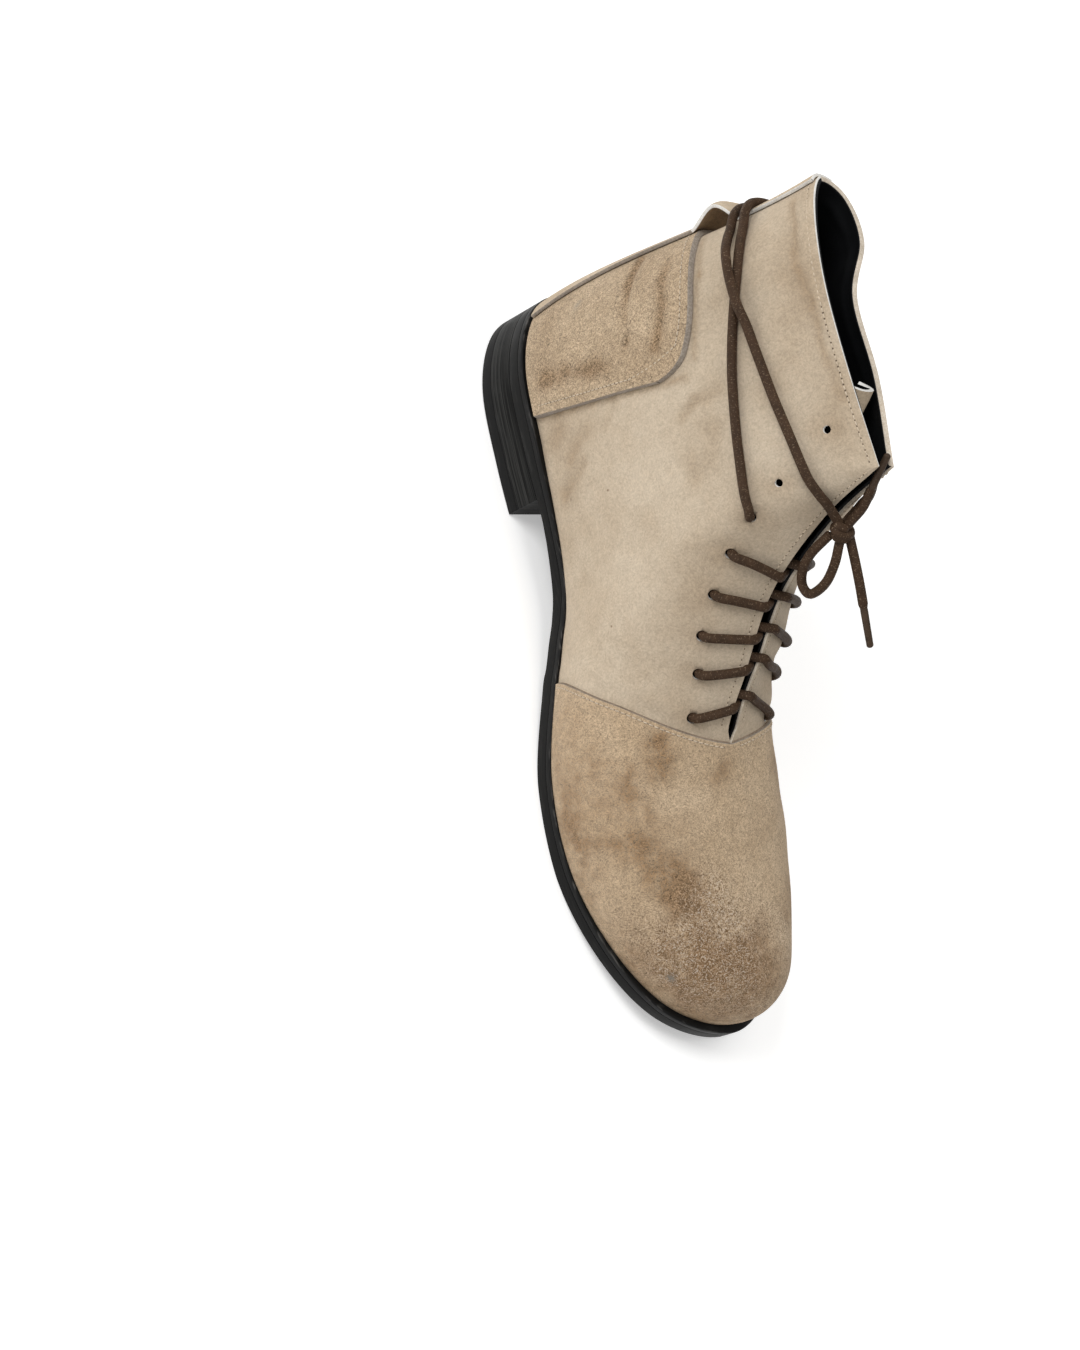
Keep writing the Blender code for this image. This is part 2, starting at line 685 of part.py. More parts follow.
def main():
    """Clears the scene and builds the boot piece by piece."""
    for old in list(bpy.data.objects):
        bpy.data.objects.remove(old, do_unlink=True)
    parts = bpy.data.collections.new("suede_boot")
    cutters = bpy.data.collections.new("cutters")
    bpy.context.scene.collection.children.link(parts)
    bpy.context.scene.collection.children.link(cutters)
    root = bpy.data.objects.new("boot", None)
    parts.objects.link(root)

    black = (0.012, 0.012, 0.013)
    suede = material("suede", (0.50, 0.39, 0.27), 0.9)
    sole_finishes = {
        "outsole": material("outsole_leather", black, 0.45),
        "insole": material("insole_leather", black, 0.6),
        "welt": material("welt_leather", black, 0.5),
        "heel_lift": material("heel_rubber", black, 0.6),
        "heel_block": material("heel_leather", black, 0.45),
    }
    build_upper(suede, root, parts, cutters)
    build_sole(sole_finishes, root, parts)
    build_counter(material("counter_suede", (0.44, 0.31, 0.19), 0.95), root, parts)
    build_strip(material("strip_suede", (0.48, 0.37, 0.25), 0.9), root, parts)
    build_tongue(material("tongue_leather", black, 0.6), root, parts)
    cord = material("lace_cord", (0.045, 0.028, 0.02), 0.6)
    build_crossings(cord, root, parts)
    build_free_laces(cord, root, parts)
    stand_on_origin(root, parts)


main()
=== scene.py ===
"""Looks of a right lace-up suede ankle boot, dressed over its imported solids.

Tables are in the boot's own millimetres: x from the back of the heel to the toe, y to the inner
side of the foot, z up from the floor. A place on the upper is a rib number, negative on the inner
side of the foot, and a height share from the sole up to the top line.
"""

from __future__ import annotations

import json
import logging
import math
from collections.abc import Callable, Sequence
from dataclasses import dataclass
from enum import Enum
from functools import reduce

import bmesh
import bpy
import numpy as np
from mathutils import Matrix, Vector

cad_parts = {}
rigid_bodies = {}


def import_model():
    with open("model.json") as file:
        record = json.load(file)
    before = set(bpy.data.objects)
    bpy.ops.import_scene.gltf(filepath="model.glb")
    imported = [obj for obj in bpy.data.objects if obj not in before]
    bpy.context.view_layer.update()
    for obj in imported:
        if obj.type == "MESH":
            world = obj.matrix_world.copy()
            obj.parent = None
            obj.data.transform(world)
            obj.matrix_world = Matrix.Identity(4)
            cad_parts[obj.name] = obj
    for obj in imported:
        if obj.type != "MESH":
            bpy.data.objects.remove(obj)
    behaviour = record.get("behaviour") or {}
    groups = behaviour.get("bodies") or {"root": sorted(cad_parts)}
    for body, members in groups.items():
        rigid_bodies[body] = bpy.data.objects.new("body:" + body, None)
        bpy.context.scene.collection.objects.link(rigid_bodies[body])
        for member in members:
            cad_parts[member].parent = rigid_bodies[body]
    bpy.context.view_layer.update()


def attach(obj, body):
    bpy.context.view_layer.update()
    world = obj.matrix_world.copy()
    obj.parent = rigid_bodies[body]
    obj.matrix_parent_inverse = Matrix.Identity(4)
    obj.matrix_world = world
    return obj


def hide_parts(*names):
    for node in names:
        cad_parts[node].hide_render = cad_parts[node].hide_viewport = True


log = logging.getLogger("suede_boot")

Array = np.ndarray
Values = Array | float
Color = tuple[float, float, float]
Point = tuple[float, float, float]
Spot = tuple[float, float]
Floats = tuple[float, ...]
Node = bpy.types.Node
Tree = bpy.types.NodeTree
Socket = bpy.types.NodeSocket
Material = bpy.types.Material
Piece = bpy.types.Object

MM = 0.001
ROW_SHIFT = np.array([-149.5, 1.073, 0.0])
UP = np.array([0.0, 0.0, 1.0])
ACROSS = np.array([0.0, 1.0, 0.0])
BODY = "root"
SHARP_DEGREES = 50.0


class Slot(str, Enum):
    """The record's material slots."""

    SUEDE = "suede"
    COUNTER = "counter_suede"
    LINING = "lining_leather"
    SOLE = "sole_leather"
    HEEL = "heel_rubber"
    CORD = "lace_cord"
    TIP = "lace_tip"


def unit(vectors: Array) -> Array:
    """Vectors cut to length one along the last axis."""
    return vectors / np.maximum(np.linalg.norm(vectors, axis=-1, keepdims=True), 1e-12)


def to_row(points: Array) -> Array:
    """Points of the boot's own millimetres as metres of the row frame."""
    return (np.asarray(points, float) + ROW_SHIFT) * MM


def ease(share: Array) -> Array:
    """Shares from 0 to 1 that start and end gently."""
    return share * share * (3 - 2 * share)


def run_along(line: Array) -> Array:
    """Distances along a line of points, from its start."""
    return np.concatenate([[0], np.cumsum(np.linalg.norm(np.diff(line, axis=0), axis=1))])


def read_at(rows: Array, run: Array, at: Values) -> Array:
    """Points or vectors read between the distances that they are given at."""
    return np.stack([np.interp(at, run, rows[:, k]) for k in range(3)], axis=-1)


def smooth(
    values: Sequence[float], place: Array, knee: int | None = None, level: Sequence[int] = ()
) -> Array:
    """Reads a cubic curve that runs through evenly spaced values.

    Args:
        values: One value for each whole place.
        place: Places to read.
        knee: Place where the curve may turn sharply.
        level: Ends where the curve runs level.

    Returns:
        The curve's values at the places.
    """
    values = np.asarray(values, float)
    place = np.asarray(place, float)
    if knee is not None:
        low = smooth(values[: knee + 1], np.minimum(place, knee), None, level)
        high = smooth(values[knee:], np.maximum(place - knee, 0))
        return np.where(place <= knee, low, high)
    slope = np.gradient(values)
    slope[list(level)] = 0
    start = np.clip(np.floor(place).astype(int), 0, len(values) - 2)
    s = place - start
    return (
        (2 * s**3 - 3 * s**2 + 1) * values[start]
        + (s**3 - 2 * s**2 + s) * slope[start]
        + (3 * s**2 - 2 * s**3) * values[start + 1]
        + (s**3 - s**2) * slope[start + 1]
    )


def even_points(points: Sequence[Sequence[float]], step: float) -> Array:
    """Points about a step apart along the smooth curve through a route's own points.

    Args:
        points: The route's points.
        step: Distance between the points that come back, in millimetres.

    Returns:
        The evenly spaced points.
    """
    table = np.asarray(points, float)
    fine = np.linspace(0, len(table) - 1, 40 * len(table))
    line = np.stack([smooth(table[:, k], fine) for k in range(3)], axis=1)
    run = run_along(line)
    return read_at(line, run, np.linspace(0, run[-1], max(2, round(run[-1] / step)) + 1))


@dataclass
class Last:
    """The boot's outer surface, ribbed from the back of the heel to the toe.

    A rib climbs from the feather line, where the upper meets the sole, to the top line: collar,
    throat edge, then the ridge of the vamp.
    """

    columns: tuple[str, ...] = (
        "feather_x", "feather_lat", "feather_med", "feather_z",
        "top_x", "top_lat", "top_med", "top_z",
        "lean", "pull_low", "out", "down", "pull_lat", "pull_med",
        "margin", "tread_z",
    )
    ribs: tuple[Floats, ...] = (
        (7.2, 0, 0, 25, 13.6, 0, 0, 167, 4, .28, -.04, 1, .38, .38, 5.3, 17.2),
        (13.5, -15.7, 15.7, 25, 21, -6, 12, 167, 5, .30, .08, 1, .36, .36, 3.7, 17.2),
        (34, -26, 26, 25, 38, -10.5, 15, 167, 8, .34, .3, 1, .36, .36, 3, 17.2),
        (64, -28, 27, 25, 60, -12, 4, 166.5, 10, .36, .36, 1, .36, .4, 2.4, 17.2),
        (94, -28, 25, 23.5, 90, -9.5, 6, 165.5, 12, .36, .5, 1, .36, .4, 1.2, 17),
        (118, -27, 24, 20.3, 123, -5, 3, 164.5, 16, .38, .8, 1, .34, .36, .6, 12.4),
        (130, -28, 25, 17.3, 131, -4, 3, 134, 18, .42, 1, .6, .34, .36, .8, 9.6),
        (139, -30, 28, 14.8, 148, -5.2, 1.2, 103, 20, .46, 1, .35, .42, .46, 1, 7.2),
        (148, -32, 31, 12.6, 170, -5.2, -.4, 82, 22, .48, 1, .3, .46, .52, 1.2, 5),
        (157, -34.5, 34, 10.8, 194.5, -2.6, -2.6, 61, 24, .5, 1, .1, .5, .55, 1.5, 3),
        (192, -44, 42, 7.6, 222, 3.2, 3.2, 52, 22, .48, 1, .03, .5, .49, 2, 0),
        (228, -45, 43, 7.8, 246, 7, 7, 47, 18, .46, 1, 0, .5, .46, 2.2, 0),
        (260, -35, 37.6, 10.6, 260, 8, 8, 45.3, 14, .46, 1, 0, .52, .43, 3.2, 3),
        (283, -18, 27.8, 14.4, 267, 8, 8, 44, 10, .46, 1, 0, .54, .46, 4.2, 6.8),
        (292.5, 8, 8, 16.4, 269, 8, 8, 43.6, 8, .48, 1, 0, .54, .54, 4.6, 8.6),
    )
    level_toe: tuple[str, ...] = ("feather_x", "feather_z", "tread_z")
    turned_back: tuple[str, ...] = ("feather_lat", "feather_med", "top_lat", "top_med")
    corner: int = 5
    corner_reach: float = 1.6
    corner_fade: float = 0.13
    slit_half: float = 1.9
    slit_taper: float = 12.0
    # The full inner instep: its height, its middle and reach in ribs and shares, and its push out and up
    instep: float = 5.0
    instep_at: Spot = (-8.6, 0.8)
    instep_reach: Spot = (1.4, 0.15)
    instep_push: Spot = (0.5, 0.85)
    seam: int = 9
    toe: int = 14
    # The vamp seam, as its rib at even height shares from the sole to the throat
    seam_line: Floats = (8.96, 9.15, 9.23, 9.21, 9.16, 9.09, 9.02)

    def rib(self, name: str, place: Array) -> Array:
        """A column of the rib table between the ribs, level at the back and turned at the corner."""
        values = [row[self.columns.index(name)] for row in self.ribs]
        knee = self.corner if name.startswith("top_") else None
        level = (0, -1) if name in self.level_toe else () if name in self.turned_back else (0,)
        return smooth(values, place, knee, level)

    def sided(self, name: str, u: Array) -> Array:
        """A column that differs between the outer and the inner side of the foot."""
        return np.where(u >= 0, self.rib(name + "_lat", np.abs(u)), self.rib(name + "_med", np.abs(u)))

    def feather(self, u: Array) -> Array:
        """Points of the feather line."""
        place = np.abs(u)
        return np.stack(
            [self.rib("feather_x", place), self.sided("feather", u), self.rib("feather_z", place)], axis=-1
        )

    def plan_out(self, u: Array) -> Array:
        """Unit vectors, level, straight out of the feather line."""
        u = np.asarray(u, float)
        place, side, step = np.abs(u), np.where(u >= 0, 1.0, -1.0), 0.01
        ahead = self.feather(side * np.minimum(place + step, self.toe))
        behind = self.feather(side * np.maximum(place - step, 1e-6))
        along = (ahead - behind) * side[..., None]
        out = unit(np.stack([along[..., 1], -along[..., 0], 0 * place], axis=-1))
        out[place < 1e-6] = (-1.0, 0.0, 0.0)
        out[place > self.toe - 1e-6] = (1.0, 0.0, 0.0)
        return out

    def top_line(self, u: Array) -> Array:
        """Points of the collar, the throat edge or the ridge, where the two sides are one."""
        place = np.abs(u)
        both = (self.rib("top_lat", place) + self.rib("top_med", place)) / 2
        edge = self.sided("top", u)
        low = (place > self.corner + 1) & (place < self.seam)
        open_by = np.minimum(self.slit_half, (self.seam - place) * self.slit_taper)
        parted = np.where(u >= 0, np.minimum(edge, both - open_by), np.maximum(edge, both + open_by))
        edge = np.where(low, parted, edge)
        across = np.where(place < self.seam, edge, both)
        return np.stack([self.rib("top_x", place), across, self.rib("top_z", place)], axis=-1)

    def wall(self, u: Values, v: Values) -> Array:
        """Points of the upper's outer face, with the leather rounded over below the collar's corner.

        Args:
            u: Rib places.
            v: Height shares.

        Returns:
            The points, in millimetres.
        """
        u, v = np.broadcast_arrays(np.asarray(u, float), np.asarray(v, float))
        shape = u.shape
        u, v = u.ravel(), v.ravel()
        points = self.ribbed(u, v)
        away = np.abs(np.abs(u) - self.corner) / self.corner_reach
        near = away < 1
        if near.any():
            u, v, away, flat = u[near], v[near], away[near], points[near]
            shares = np.linspace(-0.7, 0.7, 7)
            weights = np.cos(shares * math.pi / 2) ** 2
            steps = [self.ribbed(u + s * self.corner_reach, v) for s in shares]
            mean = np.einsum("k,knc->nc", weights / weights.sum(), np.array(steps))
            below = ease(np.clip((1 - v) / self.corner_fade, 0, 1))
            rounded = (0.5 + 0.5 * np.cos(math.pi * away)) * below
            points[near] = flat + (mean - flat) * rounded[:, None]
        return points.reshape(*shape, 3)

    def ribbed(self, u: Array, v: Array) -> Array:
        """Points of the upper's outer face as the ribs and the full inner instep give them.

        Args:
            u: Rib places, in one row.
            v: Height shares.

        Returns:
            The points, in millimetres.
        """
        v = v[:, None]
        place = np.abs(u)
        low, high, out = self.feather(u), self.top_line(u), self.plan_out(u)
        span = np.linalg.norm(high - low, axis=-1)[:, None]
        lean = np.radians(self.rib("lean", place))[:, None]
        rise = out * np.sin(lean) + UP * np.cos(lean)
        fall = unit(out * self.rib("out", place)[:, None] - UP * self.rib("down", place)[:, None])
        low_pull = low + rise * self.rib("pull_low", place)[:, None] * span
        high_pull = high + fall * self.sided("pull", u)[:, None] * span
        w = 1 - v
        curve = w**3 * low + 3 * w**2 * v * low_pull + 3 * w * v**2 * high_pull + v**3 * high
        from_rib = (u - self.instep_at[0]) / self.instep_reach[0]
        from_height = (v[:, 0] - self.instep_at[1]) / self.instep_reach[1]
        full = self.instep * np.exp(-(from_rib**2) - from_height**2)
        return curve + (out * self.instep_push[0] + UP * self.instep_push[1]) * full[:, None]

    def normal(self, u: Values, v: Values) -> Array:
        """Unit vectors out of the upper's face."""
        u, v = np.broadcast_arrays(np.asarray(u, float), np.asarray(v, float))
        step = 0.02
        ahead = self.wall(np.minimum(u + step, self.toe), v)
        along = ahead - self.wall(np.maximum(u - step, -self.toe), v)
        up = self.wall(u, np.minimum(v + step, 1)) - self.wall(u, np.maximum(v - step, 0))
        return unit(np.cross(along, up))

    def skin(self, u: Values, v: Values, lift: Values) -> Array:
        """Points at a height off the upper's outer face."""
        return self.wall(u, v) + self.normal(u, v) * np.asarray(lift, float)[..., None]

    def seam_rib(self, v: Array) -> Array:
        """Rib place of the vamp seam at height shares."""
        return smooth(self.seam_line, np.asarray(v) * (len(self.seam_line) - 1))

    def sole_edge(self, u: Array, inset: Values = 0.0) -> Array:
        """Points of the sole's outline, level with the feather line, or a way inside it."""
        reach = self.rib("margin", np.abs(u)) - inset
        return self.feather(u) + self.plan_out(u) * reach[..., None]

    def height_at(self, name: str, x: Array) -> Array:
        """A height column of the rib table at distances along the boot, run on straight past the toe."""
        places = np.linspace(0, self.toe, 4 * self.toe + 1)
        along, heights = self.rib("feather_x", places), self.rib(name, places)
        slope = (heights[-1] - heights[-2]) / (along[-1] - along[-2])
        return np.interp(x, along, heights) + np.maximum(x - along[-1], 0) * slope

    def seat(self, x: Array) -> Array:
        """Height of the top of the sole, which the upper stands on."""
        return self.height_at("feather_z", x)

    def tread(self, x: Array) -> Array:
        """Height of the outsole's underside, flat on the floor at the ball."""
        return np.maximum(0.0, self.height_at("tread_z", x))


@dataclass(frozen=True)
class Stroke:
    """A soft mark on the upper: its two ends as rib and height share, width in mm and amount."""

    start: Spot
    end: Spot
    width: float
    amount: float

    def field(self, last: Last, points: Array) -> Array:
        """Strength of the mark at points.

        Args:
            last: The surface that the mark lies on.
            points: Points in millimetres.

        Returns:
            The amount at each point, falling off as a bell across the mark.
        """
        share = np.linspace(0, 1, 14)
        line = last.wall(
            self.start[0] + (self.end[0] - self.start[0]) * share,
            self.start[1] + (self.end[1] - self.start[1]) * share,
        )
        nearest = np.full(points.shape[:-1], np.inf)
        for a, b in zip(line[:-1], line[1:]):
            along = b - a
            t = np.clip(((points - a) @ along) / max(along @ along, 1e-9), 0, 1)
            nearest = np.minimum(nearest, np.linalg.norm(points - a - t[..., None] * along, axis=-1))
        return self.amount * np.exp(-((nearest / self.width) ** 2))


Strokes = tuple[Stroke, ...]


def stroke_rows(*rows: Floats) -> Strokes:
    """Strokes from rows of first rib and share, last rib and share, width and amount."""
    return tuple(Stroke(row[:2], row[2:4], *row[4:]) for row in rows)


def ragged(points: Array, reach: float) -> Array:
    """Points pushed about by slow waves, which gives a mark an uneven outline.

    Args:
        points: Points in millimetres.
        reach: How far the waves push, in millimetres.

    Returns:
        The moved points.
    """
    x, y, z = points[..., 0], points[..., 1], points[..., 2]
    push = np.zeros_like(points)
    for k, length in enumerate((31.0, 17.0, 9.5, 5.5)):
        turn = 2 * math.pi / length
        push[..., 0] += np.sin(turn * (y + 0.6 * z) + 1.3 * k) / (1 + k)
        push[..., 1] += np.sin(turn * (z + 0.7 * x) + 2.1 * k) / (1 + k)
        push[..., 2] += np.sin(turn * (x + 0.5 * y) + 0.7 * k) / (1 + k)
    return points + push * reach


def marks(last: Last, strokes: Sequence[Stroke], points: Array, uneven: float = 0.0) -> Array:
    """Summed strength of several marks at points.

    Args:
        last: The surface that the marks lie on.
        strokes: The marks.
        points: Points in millimetres.
        uneven: How far the marks' outlines wander, in millimetres.

    Returns:
        The summed amounts.
    """
    points = ragged(points, uneven) if uneven else points
    total = np.zeros(points.shape[:-1])
    for stroke in strokes:
        total += stroke.field(last, points)
    return total


class Draft:
    """Points, faces and layers of one piece, gathered in the boot's own millimetres."""

    # Depths of the rows of a cut edge, as shares of the sheet, and turns of the rows of a cord's dome
    edge_depths = np.array([0.0, 0.07, 0.2, 0.36, 0.42, 0.62, 0.8, 0.86, 0.95, 1.0])
    dome_turns = np.radians([90, 65, 40, 18])

    def __init__(self) -> None:
        """Starts an empty piece."""
        self.points: list[Array] = []
        self.faces: list[Array] = []
        self.slots: list[Array] = []
        self.lays: list[Array] = []
        self.count = 0

    def grid(self, points: Array, slot: int = 0, flip: bool = False, lay: Array | None = None) -> None:
        """Adds a grid of faces.

        Args:
            points: Columns by rows of points.
            slot: Place of the material in the piece.
            flip: Turns the faces round.
            lay: Map coordinates of the same columns and rows.
        """
        columns, rows = points.shape[:2]
        index = self.count + np.arange(columns * rows).reshape(columns, rows)
        faces = np.stack([index[:-1, :-1], index[1:, :-1], index[1:, 1:], index[:-1, 1:]], axis=-1)
        faces = faces.reshape(-1, 4)
        self.faces.append(faces[:, ::-1] if flip else faces)
        self.slots.append(np.full(len(faces), slot))
        self.points.append(points.reshape(-1, 3))
        self.lays.append(np.zeros((columns * rows, 2)) if lay is None else lay.reshape(-1, 2))
        self.count += columns * rows

    def shell(
        self, outer: Array, normals: Array, thick: float, slots: tuple[int, int, int],
        borders: str, bulge: float, slant: float = 0.0,
    ) -> None:
        """Adds a sheet of leather with rounded cut edges.

        Args:
            outer: Columns by rows of the sheet's outer face.
            normals: Unit vectors out of that face.
            thick: Thickness, in millimetres.
            slots: Materials of the face, the back and the cut edge.
            borders: Borders with a cut edge: top, bottom, left and right rows of the grid.
            bulge: How far the cut edge swells out, in millimetres.
            slant: How far the back reaches past the face, apart from the bottom, in millimetres.
        """
        face, back, rim = slots
        inner = outer - normals * thick
        rows = {
            "t": (np.s_[:, -1], np.s_[:, -2], False),
            "b": (np.s_[:, 0], np.s_[:, 1], True),
            "r": (np.s_[-1], np.s_[-2], True),
            "l": (np.s_[0], np.s_[1], False),
        }
        for border in borders.replace("b", ""):
            at, beside, _ = rows[border]
            inner[at] += unit(outer[at] - outer[beside]) * slant
        self.grid(outer, face)
        self.grid(inner, back, flip=True)
        for border in borders:
            at, beside, flip = rows[border]
            self.cut_edge(outer[at], outer[beside], inner[at], flip, rim, rim, bulge)

    def cut_edge(
        self, edge: Array, beside: Array, under: Array, flip: bool, rim: int, lining: int, bulge: float,
        split: int = 4,
    ) -> None:
        """Adds the swollen cut edge of a sheet, which may show its face and its lining apart.

        Args:
            edge: Points of the outer face's border.
            beside: Points of the row next to it.
            under: Points of the back's border.
            flip: Turns the faces round.
            rim: Material of the outer part of the edge.
            lining: Material of the inner part.
            bulge: How far the edge swells out, in millimetres.
            split: Row where the two parts meet.
        """
        depths = self.edge_depths
        swell = np.sqrt(np.clip(1 - (2 * depths - 1) ** 2, 0, 1)) * bulge
        swell[split] *= 0.6 if rim != lining else 1.0
        away = unit(edge - beside)
        strip = edge[:, None] + (under - edge)[:, None] * depths[:, None]
        strip = strip + away[:, None] * swell[:, None]
        self.grid(strip[:, : split + 1], rim, flip)
        self.grid(strip[:, split:], lining, flip)

    def tube(self, path: Array, radius: Values, sides: int, dome: bool = True) -> None:
        """Adds a round cord along a path, with a map that runs round it and along it.

        Args:
            path: Points of the middle line.
            radius: Radius, in millimetres, one for all or one for each point.
            sides: Faces around.
            dome: Closes both ends with a small dome.
        """
        radius = np.broadcast_to(np.asarray(radius, float), (len(path),)).copy()
        ahead = unit(np.gradient(path, axis=0))
        if dome:
            turn, rows = self.dome_turns, len(self.dome_turns)
            front = path[0] - ahead[0] * np.sin(turn)[:, None] * radius[0] * 0.8
            rear = path[-1] + ahead[-1] * np.sin(turn[::-1])[:, None] * radius[-1] * 0.8
            small = np.maximum(np.cos(turn), 0.02)
            path = np.concatenate([front, path, rear])
            radius = np.concatenate([small * radius[0], radius, small[::-1] * radius[-1]])
            ahead = np.concatenate([np.repeat(ahead[:1], rows, 0), ahead, np.repeat(ahead[-1:], rows, 0)])
        side = np.cross(ahead[0], UP if abs(ahead[0][2]) < 0.9 else ACROSS)
        frames = []
        for direction in ahead:
            side = unit(side - direction * (side @ direction))
            frames.append((side, np.cross(direction, side)))
        angle = np.linspace(0, 2 * math.pi, sides + 1)
        ring = np.stack([np.cos(angle), np.sin(angle)], axis=-1)
        rings = np.einsum("ak,nkc->nac", ring, np.array(frames)) * radius[:, None, None]
        lay = np.stack(np.meshgrid(run_along(path), angle / (2 * math.pi), indexing="ij")[::-1], axis=-1)
        self.grid(path[:, None] + rings, flip=True, lay=lay)

    def build(self, name: str, materials: Sequence[Material], slot: Slot) -> Piece:
        """Makes the piece in the row frame and sets it on the boot's body.

        Args:
            name: Name of the piece.
            materials: Its materials, in the order of the faces' slots.
            slot: The record's material slot; not used.

        Returns:
            The piece.
        """
        mesh = bpy.data.meshes.new(name)
        faces = np.concatenate(self.faces)
        mesh.from_pydata(to_row(np.concatenate(self.points)).tolist(), [], faces.tolist())
        lay = np.concatenate(self.lays)[faces.ravel()].astype(np.float32)
        mesh.uv_layers.new(name="lay").data.foreach_set("uv", lay.ravel())
        mesh.polygons.foreach_set("material_index", np.concatenate(self.slots).astype(np.int32))
        for material in materials:
            mesh.materials.append(material)
        made = bmesh.new()
        made.from_mesh(mesh)
        bmesh.ops.remove_doubles(made, verts=made.verts, dist=2e-6)
        bmesh.ops.dissolve_degenerate(made, dist=1e-7, edges=made.edges)
        made.to_mesh(mesh)
        made.free()
        mesh.shade_smooth()
        mesh.set_sharp_from_angle(angle=math.radians(SHARP_DEGREES))
        piece = bpy.data.objects.new(name, mesh)
        bpy.context.scene.collection.objects.link(piece)
        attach(piece, BODY)
        return piece


def grid_normals(points: Array) -> Array:
    """Unit vectors out of a grid of points."""
    return unit(np.cross(np.gradient(points, axis=0), np.gradient(points, axis=1)))


def vertex_points(piece: Piece) -> Array:
    """A piece's vertices in the boot's own millimetres."""
    co = np.empty(len(piece.data.vertices) * 3, np.float32)
    piece.data.vertices.foreach_get("co", co)
    return co.reshape(-1, 3).astype(float) / MM - ROW_SHIFT


def paint(piece: Piece, name: str, values: Values) -> None:
    """Stores a mask on a piece: one value for each vertex, or one for all of them."""
    spread = np.broadcast_to(np.clip(values, 0, 1), len(piece.data.vertices)).astype(np.float32)
    piece.data.attributes.new(name, "FLOAT", "POINT").data.foreach_set("value", spread)


class Sheet:
    """A node tree that is filled in a few short calls."""

    def __init__(self, tree: Tree) -> None:
        """Keeps the tree."""
        self.tree = tree

    def feed(self, node: Node, inputs: dict) -> None:
        """Sets or links a node's inputs.

        Args:
            node: The node.
            inputs: Values or sockets, by the input's name or number.
        """
        for key, value in inputs.items():
            if isinstance(value, Socket):
                self.tree.links.new(value, node.inputs[key])
            else:
                node.inputs[key].default_value = value

    def add(self, kind: str, inputs: dict | None = None, **settings: object) -> Node:
        """Adds a node.

        Args:
            kind: Node type.
            inputs: Values or sockets for its inputs, by name or number.
            settings: The node's own options.

        Returns:
            The node.
        """
        made = self.tree.nodes.new(kind)
        for key, value in settings.items():
            setattr(made, key, value)
        self.feed(made, inputs or {})
        return made

    def math(self, operation: str, a: object, b: object = 0.0, clamp: bool = False) -> Socket:
        """Output of a Math node."""
        return self.add("ShaderNodeMath", {0: a, 1: b}, operation=operation, use_clamp=clamp).outputs[0]

    def times(self, a: object, b: object, clamp: bool = False) -> Socket:
        """Product of two values."""
        return self.math("MULTIPLY", a, b, clamp)

    def weighted(self, *parts: tuple[object, float]) -> Socket:
        """Sum of values, each times its weight."""
        terms = [self.times(value, weight) for value, weight in parts]
        return reduce(lambda a, b: self.math("ADD", a, b), terms)

    def stretch(self, vector: object, factors: Point) -> Socket:
        """A vector stretched along its axes."""
        return self.add("ShaderNodeVectorMath", {0: vector, 1: factors}, operation="MULTIPLY").outputs[0]

    def noise(
        self, vector: object, scale: object, detail: float = 2.0, rough: float = 0.5, bend: float = 0.0
    ) -> Socket:
        """Factor output of a Noise Texture."""
        inputs = {"Vector": vector, "Scale": scale, "Detail": detail, "Roughness": rough, "Distortion": bend}
        return self.add("ShaderNodeTexNoise", inputs).outputs[0]

    def span(
        self, value: object, low: float, high: float, to_low: float = 0.0, to_high: float = 1.0
    ) -> Socket:
        """Output of a Map Range node."""
        inputs = {0: value, 1: low, 2: high, 3: to_low, 4: to_high}
        return self.add("ShaderNodeMapRange", inputs).outputs[0]

    def mix(self, factor: object, a: object, b: object) -> Socket:
        """Colour output of a Mix node."""
        return self.add("ShaderNodeMix", {0: factor, 6: a, 7: b}, data_type="RGBA").outputs[2]

    def tone(self, color: object, value: object) -> Socket:
        """A colour made lighter or darker by a value."""
        return self.add("ShaderNodeHueSaturation", {"Value": value, "Color": color}).outputs[0]

    def attribute(self, name: str) -> Socket:
        """Value of a mask that is stored on the piece."""
        return self.add("ShaderNodeAttribute", attribute_name=name).outputs["Fac"]

    def place(self) -> Socket:
        """The piece's own coordinates, in metres."""
        return self.add("ShaderNodeTexCoord").outputs["Object"]


def rgba(color: Color) -> tuple[float, float, float, float]:
    """A colour with full alpha."""
    return (*color, 1.0)


